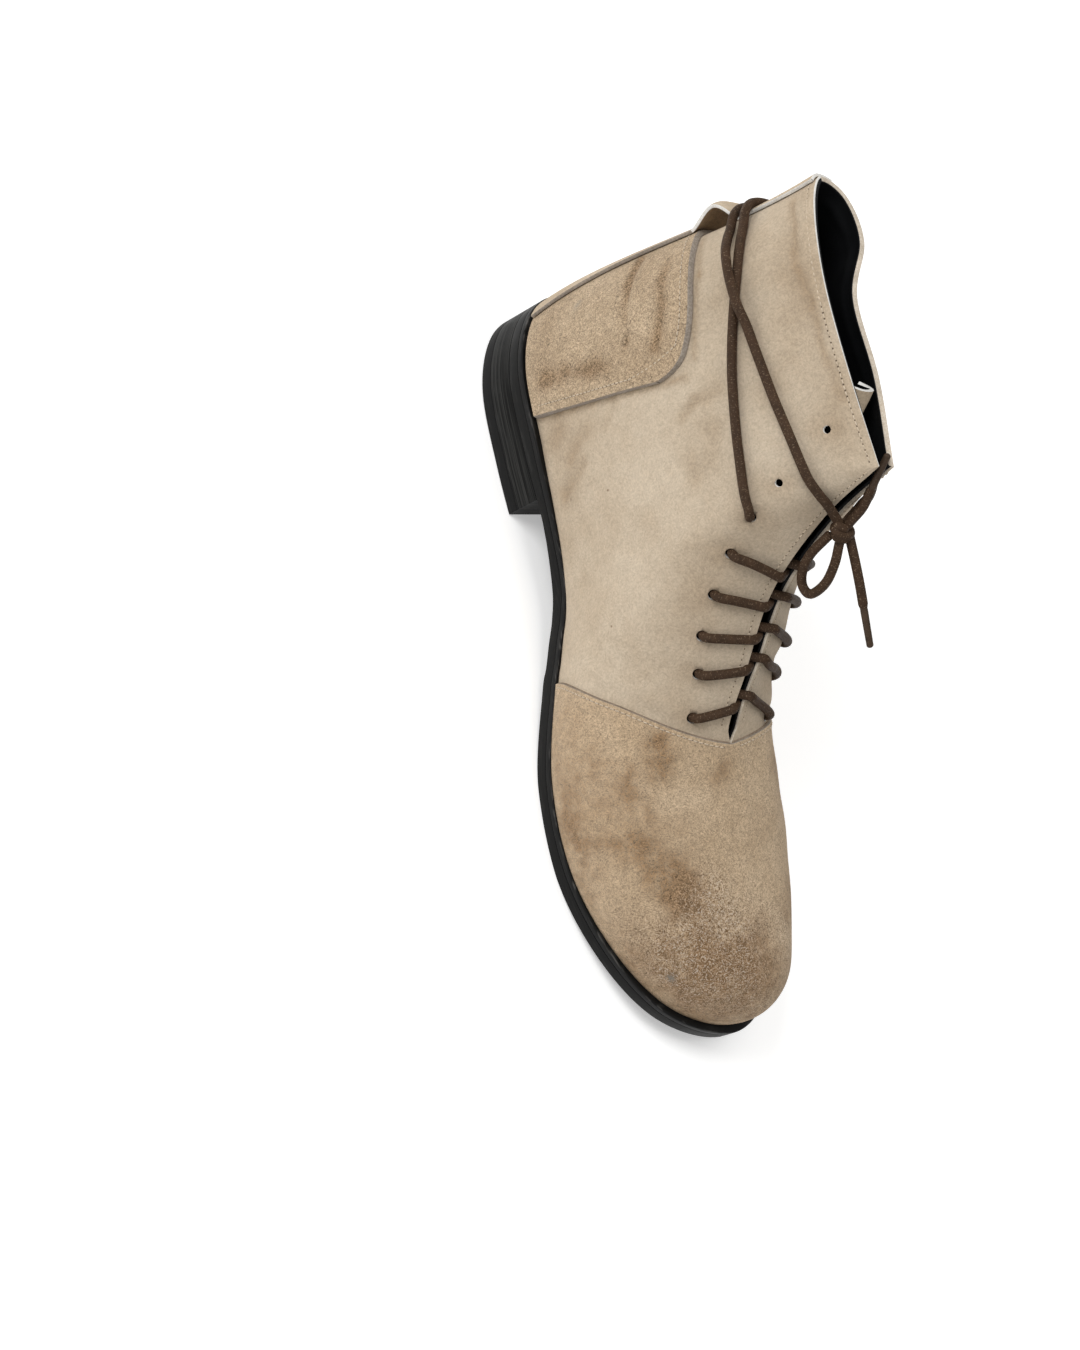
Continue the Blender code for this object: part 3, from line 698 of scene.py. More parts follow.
class Effects:
    """The shader node groups that the finishes share, each built once."""

    scuffed_fibre = (0.52, 0.48, 0.43)
    tuft_turn = 6.28
    tuft_shifts = (0.0, 0.37)
    fibre_draw = (0.42, 1.0, 1.0)
    streak_draw = (90.0, 90.0, 900.0)
    speck_draw = (11.0, 2.2, 0.0)

    def __init__(self) -> None:
        """Builds the groups."""
        self.nap = self.build_nap()
        self.grain = self.build_grain()
        self.spot = self.build_spot()
        self.braid = self.build_braid()

    @staticmethod
    def start(
        name: str, inputs: dict[str, str], outputs: dict[str, str]
    ) -> tuple[Sheet, bpy.types.NodeOutputs, Node]:
        """Starts a group.

        Args:
            name: Name of the group.
            inputs: Socket types by name.
            outputs: Socket types by name.

        Returns:
            The group's sheet, the sockets that bring its inputs, and its output node.
        """
        tree = bpy.data.node_groups.new(name, "ShaderNodeTree")
        for key, kind in inputs.items():
            tree.interface.new_socket(key, in_out="INPUT", socket_type="NodeSocket" + kind)
        for key, kind in outputs.items():
            tree.interface.new_socket(key, in_out="OUTPUT", socket_type="NodeSocket" + kind)
        sheet = Sheet(tree)
        return sheet, sheet.add("NodeGroupInput").outputs, sheet.add("NodeGroupOutput")

    def fibres(self, sheet: Sheet, vector: Socket, nap: Socket) -> Socket:
        """Short fibres that lie in small tufts, each turned its own way.

        Args:
            sheet: The group's sheet.
            vector: Coordinates on the piece.
            nap: How many fibres go to a metre.

        Returns:
            The fibres' height, from 0 to 1.
        """
        strands = []
        for shift in self.tuft_shifts:
            moved = sheet.add("ShaderNodeVectorMath", {0: vector, 1: (shift, shift, shift)}).outputs[0]
            tuft = sheet.add("ShaderNodeTexVoronoi", {"Vector": moved, "Scale": sheet.times(nap, 0.3)})
            inputs = {0: tuft.outputs["Color"], "Scale": self.tuft_turn}
            turn = sheet.add("ShaderNodeVectorMath", inputs, operation="SCALE").outputs[0]
            inputs = {"Vector": vector, "Rotation": turn}
            lay = sheet.add("ShaderNodeVectorRotate", inputs, rotation_type="EULER_XYZ").outputs[0]
            drawn = sheet.stretch(lay, self.fibre_draw)
            strands.append(sheet.noise(drawn, sheet.times(nap, 1.7), 1.0, 0.5, 0.7))
        return sheet.span(sheet.times(sheet.math("ADD", *strands), 0.5), 0.36, 0.64)

    def build_nap(self) -> Tree:
        """Suede nap: soft clouds, short fibres, brown rubbing with painted shade, and pale scuffed specks.
        """
        sheet, given, result = self.start(
            "suede_nap",
            {"Vector": "Vector", "Base": "Color", "Pale": "Color", "Deep": "Color", "Nap": "Float",
             "Coarse": "Float", "Cloud": "Float", "Blotch": "Float", "BurnishAndShade": "Float", "Scuff": "Float"},
            {"Color": "Color", "Height": "Float", "Roughness": "Float"},
        )
        vector, nap, deep = given["Vector"], given["Nap"], given["Deep"]
        burnish_and_shade, scuff = given["BurnishAndShade"], given["Scuff"]
        cloud = sheet.noise(vector, 30.0, 3.0, 0.55, 0.5)
        patch = sheet.noise(vector, 130.0, 3.0, 0.6, 0.3)
        fibre = self.fibres(sheet, vector, nap)
        curl = sheet.span(sheet.noise(vector, sheet.times(nap, 0.8), 2.0, 0.6, 2.0), 0.3, 0.7)
        clump = sheet.span(sheet.noise(vector, sheet.times(nap, 0.33), 3.0, 0.6, 0.6), 0.32, 0.68)
        lit = sheet.span(sheet.weighted((cloud, 0.65), (patch, 0.35)), 0.36, 0.64)
        color = sheet.mix(lit, given["Base"], given["Pale"])
        broken = sheet.span(patch, 0.34, 0.66, -0.45, 0.45)
        broken = sheet.math("ADD", broken, sheet.math("SUBTRACT", fibre, 0.5))
        broken = sheet.math("ADD", sheet.times(broken, given["Blotch"]), 1.0)
        brown = sheet.span(sheet.noise(vector, 26.0, 4.0, 0.6, 0.9), 0.46, 0.72)
        # The mask brings brown rubbing and painted shade; the clouds add random brown tone
        brown = sheet.math("ADD", burnish_and_shade, sheet.times(brown, given["Cloud"]))
        color = sheet.mix(sheet.math("MINIMUM", sheet.times(brown, broken), 0.8), color, deep)
        stir = sheet.math("SUBTRACT", sheet.weighted((fibre, 1.4), (curl, 0.5), (clump, 0.35)), 1.12)
        stirred = sheet.math("ADD", sheet.times(burnish_and_shade, 0.8), scuff)
        rough_nap = sheet.times(given["Coarse"], sheet.math("ADD", 1.0, stirred))
        color = sheet.tone(color, sheet.math("ADD", 1.0, sheet.times(stir, rough_nap)))
        light = sheet.times(scuff, sheet.span(fibre, 0.6, 0.95), True)
        color = sheet.mix(sheet.times(light, 0.66), color, rgba(self.scuffed_fibre))
        dark = sheet.times(scuff, sheet.span(fibre, 0.45, 0.05), True)
        sheet.feed(result, {
            "Color": sheet.mix(sheet.times(dark, 0.8), color, deep),
            "Height": sheet.weighted((fibre, 0.7), (curl, 0.3)),
            "Roughness": sheet.span(fibre, 0.0, 1.0, 0.86, 0.98),
        })
        return sheet.tree

    def build_grain(self) -> Tree:
        """Smooth leather or rubber: fine pores, a little unevenness and worn, paler edges, which on the
        welt's top corner are partly a painted highlight.
        """
        sheet, given, result = self.start(
            "leather_grain",
            {"Vector": "Vector", "Base": "Color", "WornAndHighlight": "Color", "Scale": "Float", "WearAndHighlight": "Float",
             "Satin": "Float"},
            {"Color": "Color", "Height": "Float", "Roughness": "Float"},
        )
        vector = given["Vector"]
        inputs = {"Vector": vector, "Scale": given["Scale"]}
        pores = sheet.add("ShaderNodeTexVoronoi", inputs, feature="SMOOTH_F1").outputs["Distance"]
        uneven = sheet.noise(vector, 60.0, 4.0, 0.6)
        streak = sheet.noise(sheet.stretch(vector, self.streak_draw), 1.0, 3.0, 0.65, 0.4)
        worn_and_highlight = sheet.times(given["WearAndHighlight"], sheet.span(streak, 0.52, 0.74), True)
        base = sheet.tone(given["Base"], sheet.span(uneven, 0.3, 0.7, 0.82, 1.2))
        satin = sheet.math("ADD", given["Satin"], sheet.span(uneven, 0.3, 0.7, -0.07, 0.09))
        sheet.feed(result, {
            "Color": sheet.mix(worn_and_highlight, base, given["WornAndHighlight"]),
            "Height": sheet.weighted((pores, 0.7), (streak, 0.3)),
            "Roughness": sheet.math("ADD", satin, sheet.times(worn_and_highlight, 0.15), True),
        })
        return sheet.tree

    def build_spot(self) -> Tree:
        """A small stain with an uneven outline, round a point of the piece."""
        sheet, given, result = self.start(
            "small_spot", {"Vector": "Vector", "Centre": "Vector", "Radius": "Float"}, {"Mask": "Float"}
        )
        inputs = {0: given["Vector"], 1: given["Centre"]}
        away = sheet.add("ShaderNodeVectorMath", inputs, operation="DISTANCE").outputs["Value"]
        uneven = sheet.noise(given["Vector"], 900.0, 2.0, 0.6)
        share = sheet.math("DIVIDE", away, given["Radius"])
        share = sheet.math("ADD", share, sheet.times(sheet.math("SUBTRACT", uneven, 0.5), 1.3))
        sheet.feed(result, {"Mask": sheet.span(share, 1.1, 0.35)})
        return sheet.tree

    def build_braid(self) -> Tree:
        """Round braid: two sets of strands that wind opposite ways along a cord's map."""
        sheet, given, result = self.start(
            "round_braid", {"Vector": "Vector", "Around": "Float", "Along": "Float"},
            {"Height": "Float", "Speck": "Float"},
        )
        parts = sheet.add("ShaderNodeSeparateXYZ", {0: given["Vector"]})
        turn = sheet.times(parts.outputs["X"], given["Around"])
        run = sheet.times(parts.outputs["Y"], given["Along"])
        strands = []
        for operation in ("ADD", "SUBTRACT"):
            wave = sheet.math("SINE", sheet.times(sheet.math(operation, turn, run), math.pi))
            strands.append(sheet.math("ABSOLUTE", wave))
        speck = sheet.noise(sheet.stretch(given["Vector"], self.speck_draw), 1.0, 1.0, 0.6)
        sheet.feed(result, {
            "Height": sheet.math("MAXIMUM", *strands), "Speck": sheet.span(speck, 0.6, 0.7),
        })
        return sheet.tree


def new_material(name: str) -> tuple[Material, Sheet, Node]:
    """A material with its sheet and its Principled shader."""
    made = bpy.data.materials.new(name)
    made.use_nodes = True
    return made, Sheet(made.node_tree), made.node_tree.nodes["Principled BSDF"]


def bump(sheet: Sheet, shader: Node, height: Socket, strength: float, depth_mm: float) -> None:
    """Feeds a height through a Bump node into the shader's normal."""
    node = sheet.add("ShaderNodeBump", {"Height": height, "Strength": strength, "Distance": depth_mm * MM})
    sheet.feed(shader, {"Normal": node.outputs["Normal"]})


@dataclass(frozen=True)
class StainSpot:
    """A small stain: its place on the upper, its radius in millimetres and its colour."""

    at: Spot
    radius: float
    color: Color


@dataclass(frozen=True)
class SuedeFinish:
    """Napped leather with its rubbed and scuffed patches."""

    name: str
    base: Color
    pale: Color
    deep: Color
    relief_mm: float
    nap: float = 800.0
    coarse: float = 0.2
    cloud: float = 0.1
    sheen: float = 0.1
    blotch: float = 0.3
    marked: bool = True
    spots: tuple[StainSpot, ...] = ()
    gloss: float = 0.2
    sheen_rough: float = 0.55
    sheen_tint: Color = (0.95, 0.86, 0.74)

    def build(self, effects: Effects, last: Last) -> Material:
        """Makes the material.

        Args:
            effects: The shared node groups.
            last: The surface that the stains are placed on.

        Returns:
            The material.
        """
        made, sheet, shader = new_material(self.name)
        place = sheet.place()
        inputs = {
            "Vector": place, "Base": rgba(self.base), "Pale": rgba(self.pale), "Deep": rgba(self.deep),
            "Nap": self.nap, "Coarse": self.coarse, "Cloud": self.cloud, "Blotch": self.blotch,
        }
        if self.marked:
            inputs |= {"BurnishAndShade": sheet.attribute("burnish_and_shade"), "Scuff": sheet.attribute("scuff")}
        nap = sheet.add("ShaderNodeGroup", inputs, node_tree=effects.nap)
        color = nap.outputs["Color"]
        for spot in self.spots:
            centre = tuple(to_row(last.wall(*spot.at)))
            inputs = {"Vector": place, "Centre": centre, "Radius": spot.radius * MM}
            mask = sheet.add("ShaderNodeGroup", inputs, node_tree=effects.spot)
            color = sheet.mix(mask.outputs["Mask"], color, rgba(spot.color))
        sheet.feed(shader, {
            "Base Color": color, "Roughness": nap.outputs["Roughness"], "Specular IOR Level": self.gloss,
            "Sheen Weight": self.sheen, "Sheen Roughness": self.sheen_rough,
            "Sheen Tint": rgba(self.sheen_tint),
        })
        bump(sheet, shader, nap.outputs["Height"], 0.7, self.relief_mm)
        return made


@dataclass(frozen=True)
class LeatherFinish:
    """Smooth leather or rubber with pores and worn edges, partly a painted highlight on the welt, and lines
    where its layers meet.
    """

    name: str
    base: Color
    worn_and_highlight: Color
    satin: float = 0.45
    pore_scale: float = 1800.0
    relief_mm: float = 0.06
    gloss: float = 0.13
    layer_mm: float = 0.0
    drift_mm: float = 0.6
    line_draw: Point = (16.0, 16.0, 1700.0)

    def build(self, effects: Effects) -> Material:
        """Makes the material.

        Args:
            effects: The shared node groups.

        Returns:
            The material.
        """
        made, sheet, shader = new_material(self.name)
        place = sheet.place()
        inputs = {
            "Vector": place, "WearAndHighlight": sheet.attribute("wear_and_highlight"), "Base": rgba(self.base),
            "WornAndHighlight": rgba(self.worn_and_highlight), "Scale": self.pore_scale, "Satin": self.satin,
        }
        grain = sheet.add("ShaderNodeGroup", inputs, node_tree=effects.grain)
        color, height = grain.outputs["Color"], grain.outputs["Height"]
        if self.layer_mm:
            up = sheet.add("ShaderNodeSeparateXYZ", {0: place}).outputs["Z"]
            drift = sheet.times(sheet.noise(place, 40.0, 2.0), self.drift_mm * MM)
            layers = sheet.math("DIVIDE", sheet.math("ADD", up, drift), self.layer_mm * MM)
            joint = sheet.math("ABSOLUTE", sheet.math("SINE", sheet.times(layers, math.pi)))
            line = sheet.noise(sheet.stretch(place, self.line_draw), 1.0, 2.0, 0.6)
            line = sheet.span(line, 0.43, 0.63)
            height = sheet.math("ADD", sheet.times(height, 0.3), sheet.span(joint, 0.0, 0.25))
            height = sheet.math("ADD", height, sheet.times(line, 0.7))
            color = sheet.mix(sheet.times(line, 0.75), color, rgba(self.worn_and_highlight))
        sheet.feed(shader, {
            "Base Color": color, "Roughness": grain.outputs["Roughness"], "Specular IOR Level": self.gloss,
        })
        bump(sheet, shader, height, 0.5, self.relief_mm)
        return made


@dataclass(frozen=True)
class CutFinish:
    """Felted fibres, as on a raw cut edge of leather or on a thread, also the painted shade of needle holes
    and seams.
    """

    name: str
    base: Color
    pale: Color
    relief_mm: float = 0.15
    gloss: float = 0.2

    def build(self) -> Material:
        """Makes the material.

        Returns:
            The material.
        """
        made, sheet, shader = new_material(self.name)
        place = sheet.place()
        felt = sheet.noise(place, 1300.0, 3.0, 0.65)
        cloud = sheet.noise(place, 120.0, 2.0)
        color = sheet.mix(sheet.span(felt, 0.35, 0.65), rgba(self.base), rgba(self.pale))
        sheet.feed(shader, {
            "Base Color": sheet.tone(color, sheet.span(cloud, 0.3, 0.7, 0.88, 1.1)),
            "Roughness": sheet.span(felt, 0.3, 0.7, 0.85, 0.98), "Specular IOR Level": self.gloss,
        })
        bump(sheet, shader, felt, 0.6, self.relief_mm)
        return made


@dataclass(frozen=True)
class CordFinish:
    """Waxed round cord: a tight braid with pale specks and painted shade between its strands, or a smooth
    tip pressed from it.
    """

    name: str
    base: Color
    lit: Color
    rough: float
    around: float
    along: float
    relief_mm: float
    gloss: float = 0.1

    def build(self, effects: Effects) -> Material:
        """Makes the material.

        Args:
            effects: The shared node groups.

        Returns:
            The material.
        """
        made, sheet, shader = new_material(self.name)
        lay = sheet.add("ShaderNodeUVMap", uv_map="lay").outputs[0]
        inputs = {"Vector": lay, "Around": self.around, "Along": self.along}
        braid = sheet.add("ShaderNodeGroup", inputs, node_tree=effects.braid).outputs
        cloud = sheet.noise(sheet.place(), 260.0, 3.0, 0.6)
        tone = sheet.span(cloud, 0.3, 0.7, 0.62, 1.15)
        # The braid's raised strands are painted lighter: painted shade between the strands
        tone = sheet.math("ADD", tone, sheet.times(braid["Height"], 0.3))
        color = sheet.tone(rgba(self.base), tone)
        sheet.feed(shader, {
            "Base Color": sheet.mix(sheet.times(braid["Speck"], 0.55), color, rgba(self.lit)),
            "Roughness": sheet.span(cloud, 0.3, 0.7, self.rough - 0.08, self.rough + 0.1),
            "Specular IOR Level": self.gloss,
        })
        bump(sheet, shader, braid["Height"], 0.8, self.relief_mm)
        return made


DEEP_BROWN = (.17, .105, .058)
BLACK = (.0045, .0045, .0043)
DUSTY = (.03, .0295, .028)


@dataclass
class Finishes:
    """Every finish of the boot, built once."""

    last: Last
    effects: Effects
    suedes: tuple[SuedeFinish, ...] = (
        SuedeFinish(
            "quarter_suede", (.46, .37, .269), (.538, .449, .341), (.28, .195, .118),
            relief_mm=.12, nap=760.0, coarse=.17, blotch=.15,
            spots=(
                StainSpot((7.512, .353), .7, (.2, .14, .09)),
                StainSpot((4.06, .24), .6, (.22, .15, .1)),
                StainSpot((3.9, .088), .8, (.17, .12, .08)),
            ),
        ),
        SuedeFinish(
            "vamp_suede", (.455, .337, .218), (.534, .409, .278), (.205, .116, .052),
            relief_mm=.3, nap=1250.0, coarse=.5, cloud=.24, sheen=.12, blotch=1.1,
            spots=(
                StainSpot((12.443, .27), 2.3, (.2, .18, .15)),
                StainSpot((9.184, .87), .55, (.05, .06, .12)),
                StainSpot((10.053, .242), .8, (.17, .12, .08)),
            ),
        ),
        SuedeFinish(
            "counter_suede", (.385, .284, .182), (.458, .35, .236), (.215, .135, .07),
            relief_mm=.28, nap=1150.0, coarse=.58, cloud=.2, sheen=.12,
            spots=(StainSpot((1.489, .239), 3.2, (.27, .235, .185)),),
        ),
        SuedeFinish(
            "strip_suede", (.46, .36, .25), (.54, .44, .32), DEEP_BROWN,
            relief_mm=.18, coarse=.15, marked=False,
        ),
        SuedeFinish(
            "strip_back", (.4, .29, .18), (.47, .35, .23), DEEP_BROWN,
            relief_mm=.25, cloud=.2, marked=False,
        ),
    )
    leathers: tuple[LeatherFinish, ...] = (
        LeatherFinish(
            "lining", (.006, .0063, .0072), (.02, .02, .022),
            satin=.6, pore_scale=1500.0, relief_mm=.08, gloss=.25,
        ),
        LeatherFinish("sole_edge", BLACK, DUSTY, relief_mm=.05),
        # The welt's pale worn colour, on its top corner, is partly a painted highlight
        LeatherFinish(
            "welt_leather", BLACK, (.12, .115, .108), pore_scale=1500.0, relief_mm=.05, gloss=.16,
        ),
        LeatherFinish(
            "heel_stack", (.0025, .0025, .0024), (.036, .036, .034),
            satin=.5, gloss=.1, layer_mm=3.1,
        ),
        LeatherFinish(
            "heel_rubber", (.0075, .0075, .0075), (.03, .03, .029),
            satin=.55, pore_scale=2200.0, gloss=.12,
        ),
        LeatherFinish(
            "sole_under", (.015, .0145, .014), DUSTY,
            satin=.62, pore_scale=900.0, relief_mm=.12, gloss=.3,
        ),
    )
    cuts: tuple[CutFinish, ...] = (
        CutFinish("pale_cut", (.5, .42, .325), (.66, .59, .5)),
        CutFinish("grey_cut", (.23, .195, .16), (.36, .315, .27)),
        CutFinish("seam_shade", (.19, .145, .105), (.28, .22, .165)),
        CutFinish("white_cut", (.66, .64, .6), (.8, .79, .76)),
        # Needle holes: a dark colour of painted shade
        CutFinish("needle_hole_shade", (.1, .074, .05), (.16, .12, .085)),
        CutFinish("thread_pale", (.49, .4, .29), (.59, .5, .39), relief_mm=.05),
    )
    cords: tuple[CordFinish, ...] = (
        CordFinish(
            "lace_braid", (.046, .0265, .0155), (.25, .18, .12),
            rough=.58, around=12.0, along=.85, relief_mm=.18,
        ),
        CordFinish(
            "lace_tip", (.05, .033, .022), (.12, .085, .06),
            rough=.36, around=2.0, along=.08, relief_mm=.03,
        ),
    )

    def build(self) -> dict[str, Material]:
        """Makes the materials.

        Returns:
            The materials by name.
        """
        made = {finish.name: finish.build(self.effects, self.last) for finish in self.suedes}
        made |= {finish.name: finish.build(self.effects) for finish in self.leathers}
        made |= {finish.name: finish.build() for finish in self.cuts}
        return made | {finish.name: finish.build(self.effects) for finish in self.cords}


@dataclass(frozen=True)
class SoftLight:
    """A square soft light: its place and side in metres, and its power in watts."""

    name: str
    at: Point
    size: float
    watts: float

    def build(self, aim: Point) -> None:
        """Hangs the light.

        Args:
            aim: The point that it looks at, in metres.
        """
        data = bpy.data.lights.new(self.name, "AREA")
        data.shape = "SQUARE"
        data.size = self.size
        data.energy = self.watts
        light = bpy.data.objects.new(self.name, data)
        light.location = self.at
        light.rotation_euler = (Vector(aim) - Vector(self.at)).to_track_quat("-Z", "Y").to_euler()
        bpy.context.scene.collection.objects.link(light)


@dataclass
class Studio:
    """Pale floor, soft light and the camera at the photograph's angle."""

    # The camera, in degrees and millimetres
    azimuth: float = 15.83
    elevation: float = 45.87
    roll: float = 65.685
    distance: float = 1119.0
    side: float = 68.557
    rise: float = 20.343
    aim: Point = (150.0, 0.0, 70.0)
    lens: float = 80.0
    # The floor, the room and the lights, in metres
    floor_size: float = 14.0
    floor_colors: tuple[Color, Color] = ((0.93, 0.93, 0.925), (0.95, 0.95, 0.945))
    floor_glow: float = 0.36
    room_color: Color = (1.0, 0.99, 0.975)
    room_strength: float = 0.31
    boot_middle: Point = (0.0, 0.0, 0.07)
    lights: tuple[SoftLight, ...] = (
        SoftLight("key_softbox", (-1.55, -2.4, 2.25), 1.8, 65.0),
        SoftLight("overhead_softbox", (-0.35, 0.0, 3.0), 2.4, 37.0),
        SoftLight("toe_fill", (1.6, -0.7, 0.9), 1.0, 1.5),
    )

    def build(self) -> None:
        """Makes the camera, the floor, the world and the lights."""
        self.build_camera()
        self.build_floor()
        scene = bpy.context.scene
        scene.view_settings.view_transform = "Standard"
        world = bpy.data.worlds.new("soft_room")
        world.use_nodes = True
        room = {"Color": rgba(self.room_color), "Strength": self.room_strength}
        Sheet(world.node_tree).feed(world.node_tree.nodes["Background"], room)
        scene.world = world
        for light in self.lights:
            light.build(self.boot_middle)

    def build_camera(self) -> None:
        """Sets the camera, rolled as the photograph is."""
        a, e, r = (math.radians(x) for x in (self.azimuth, self.elevation, self.roll))
        back = Vector((math.sin(a) * math.cos(e), -math.cos(a) * math.cos(e), math.sin(e)))
        level = Vector((math.cos(a), math.sin(a), 0.0))
        over = back.cross(level)
        right = level * math.cos(r) + over * math.sin(r)
        top = over * math.cos(r) - level * math.sin(r)
        eye = Vector(self.aim) + back * self.distance - right * self.side - top * self.rise
        data = bpy.data.cameras.new("photo_camera")
        data.lens = self.lens
        data.sensor_width = 36.0
        data.clip_start, data.clip_end = 0.01, 100.0
        camera = bpy.data.objects.new("photo_camera", data)
        turn = Matrix((right, top, back)).transposed().to_4x4()
        camera.matrix_world = Matrix.Translation(Vector(to_row(np.array(eye)))) @ turn
        bpy.context.scene.collection.objects.link(camera)
        bpy.context.scene.camera = camera

    def build_floor(self) -> None:
        """Lays the floor, which isn't part of the boot."""
        made, sheet, shader = new_material("pale_floor")
        cloud = sheet.noise(sheet.place(), 3.0, 2.0)
        dull, bright = self.floor_colors
        sheet.feed(shader, {
            "Base Color": sheet.mix(cloud, rgba(dull), rgba(bright)), "Roughness": 0.8,
            "Specular IOR Level": 0.1, "Emission Color": rgba((1.0, 1.0, 1.0)),
            "Emission Strength": self.floor_glow,
        })
        mesh = bpy.data.meshes.new("floor")
        half = self.floor_size / 2
        corners = [(-half, -half, 0), (half, -half, 0), (half, half, 0), (-half, half, 0)]
        mesh.from_pydata(corners, [], [(0, 1, 2, 3)])
        mesh.materials.append(made)
        floor = bpy.data.objects.new("floor", mesh)
        bpy.context.scene.collection.objects.link(floor)


@dataclass(frozen=True)
class Eyelets:
    """The punched lace holes from the toe end up, and the ribs where the lace crosses the throat."""

    outer: tuple[Spot, ...] = (
        (8.838, .842), (8.265, .82), (7.72, .796), (7.124, .795),
        (6.53, .78), (5.697, .739), (5.075, .787), (4.479, .914),
    )
    inner: tuple[Spot, ...] = (
        (8.99, .8), (8.58, .757), (8.03, .765), (7.42, .748),
        (6.8, .735), (5.697, .739), (5.075, .787), (4.479, .914),
    )
    crossings: Floats = (8.56, 8.08, 7.68, 7.24, 6.83)
    apart_rib: float = 0.13
    laced: int = 6
    width: float = 4.2
    empty_width: float = 2.9

    def punched(self) -> list[tuple[float, float, float]]:
        """Rib place, height share and width in millimetres of every hole."""
        widths = [self.width if k < self.laced else self.empty_width for k in range(len(self.outer))]
        made = [(rib, height, wide) for (rib, height), wide in zip(self.outer, widths)]
        return made + [(-rib, height, wide) for (rib, height), wide in zip(self.inner, widths)]


@dataclass
class Stitching:
    """Rows of small thread stitches, each bedded in the leather between two needle holes, which are dark
    discs of painted shade.
    """

    pitch: float = 2.2
    length: float = 1.45
    radius: float = 0.27
    bed: float = 0.05
    hole: float = 0.40
    sides: int = 6
    # Heights over the leather: of a stitch's points, and of a needle hole's line, middle and skirt
    arc: Floats = (-0.30, 0.02, 0.10, 0.02, -0.30)
    hole_lift: float = 0.03
    hole_middle: float = 0.05
    hole_skirt: float = 0.12
    hole_stretch: float = 1.25

    def row(self, threads: Draft, holes: Draft, line: Array, normals: Array) -> None:
        """Adds one row along a line on a surface.

        Args:
            threads: Piece that takes the thread.
            holes: Piece that takes the needle holes, dark discs of painted shade.
            line: Points of the row.
            normals: Unit vectors out of the surface there.
        """
        run = run_along(line)
        count = max(1, int(run[-1] / self.pitch))
        share = np.linspace(-0.5, 0.5, len(self.arc))
        rise = np.array(self.arc) + self.bed
        angle = np.linspace(0, 2 * math.pi, self.sides + 1)[:, None]
        for k in range(count):
            middle = (k + 0.5) * run[-1] / count
            spots = read_at(line, run, middle + share * self.length)
            out = unit(read_at(normals, run, middle))
            threads.tube(spots + out * rise[:, None], self.radius, self.sides, dome=False)
            # Each needle hole is a flat disc in a dark colour, painted shade
            at = read_at(line, run, middle + self.pitch / 2) + out * self.hole_lift
            along = unit(spots[-1] - spots[0])
            across = np.cross(out, along)
            rim = at + (along * np.cos(angle) * self.hole_stretch + across * np.sin(angle)) * self.hole
            dip = np.repeat((at + out * self.hole_middle)[None], len(angle), 0)
            holes.grid(np.stack([rim - out * self.hole_skirt, (rim + dip) / 2, dip], axis=1))


@dataclass
class Part:
    """What every sub-assembly has: the last, the finishes, and a way to make a piece."""

    last: Last
    finishes: dict[str, Material]

    def make(self, draft: Draft, name: str, finishes: Sequence[str], slot: Slot, node: str) -> Piece:
        """Makes a piece from a draft.

        Args:
            draft: Its points and faces.
            name: Its name.
            finishes: Names of its finishes, in the order of the faces' slots.
            slot: The record's material slot.
            node: The solid that it stands for.

        Returns:
            The piece.
        """
        piece = draft.build(name, [self.finishes[key] for key in finishes], slot)
        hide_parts(node)
        return piece


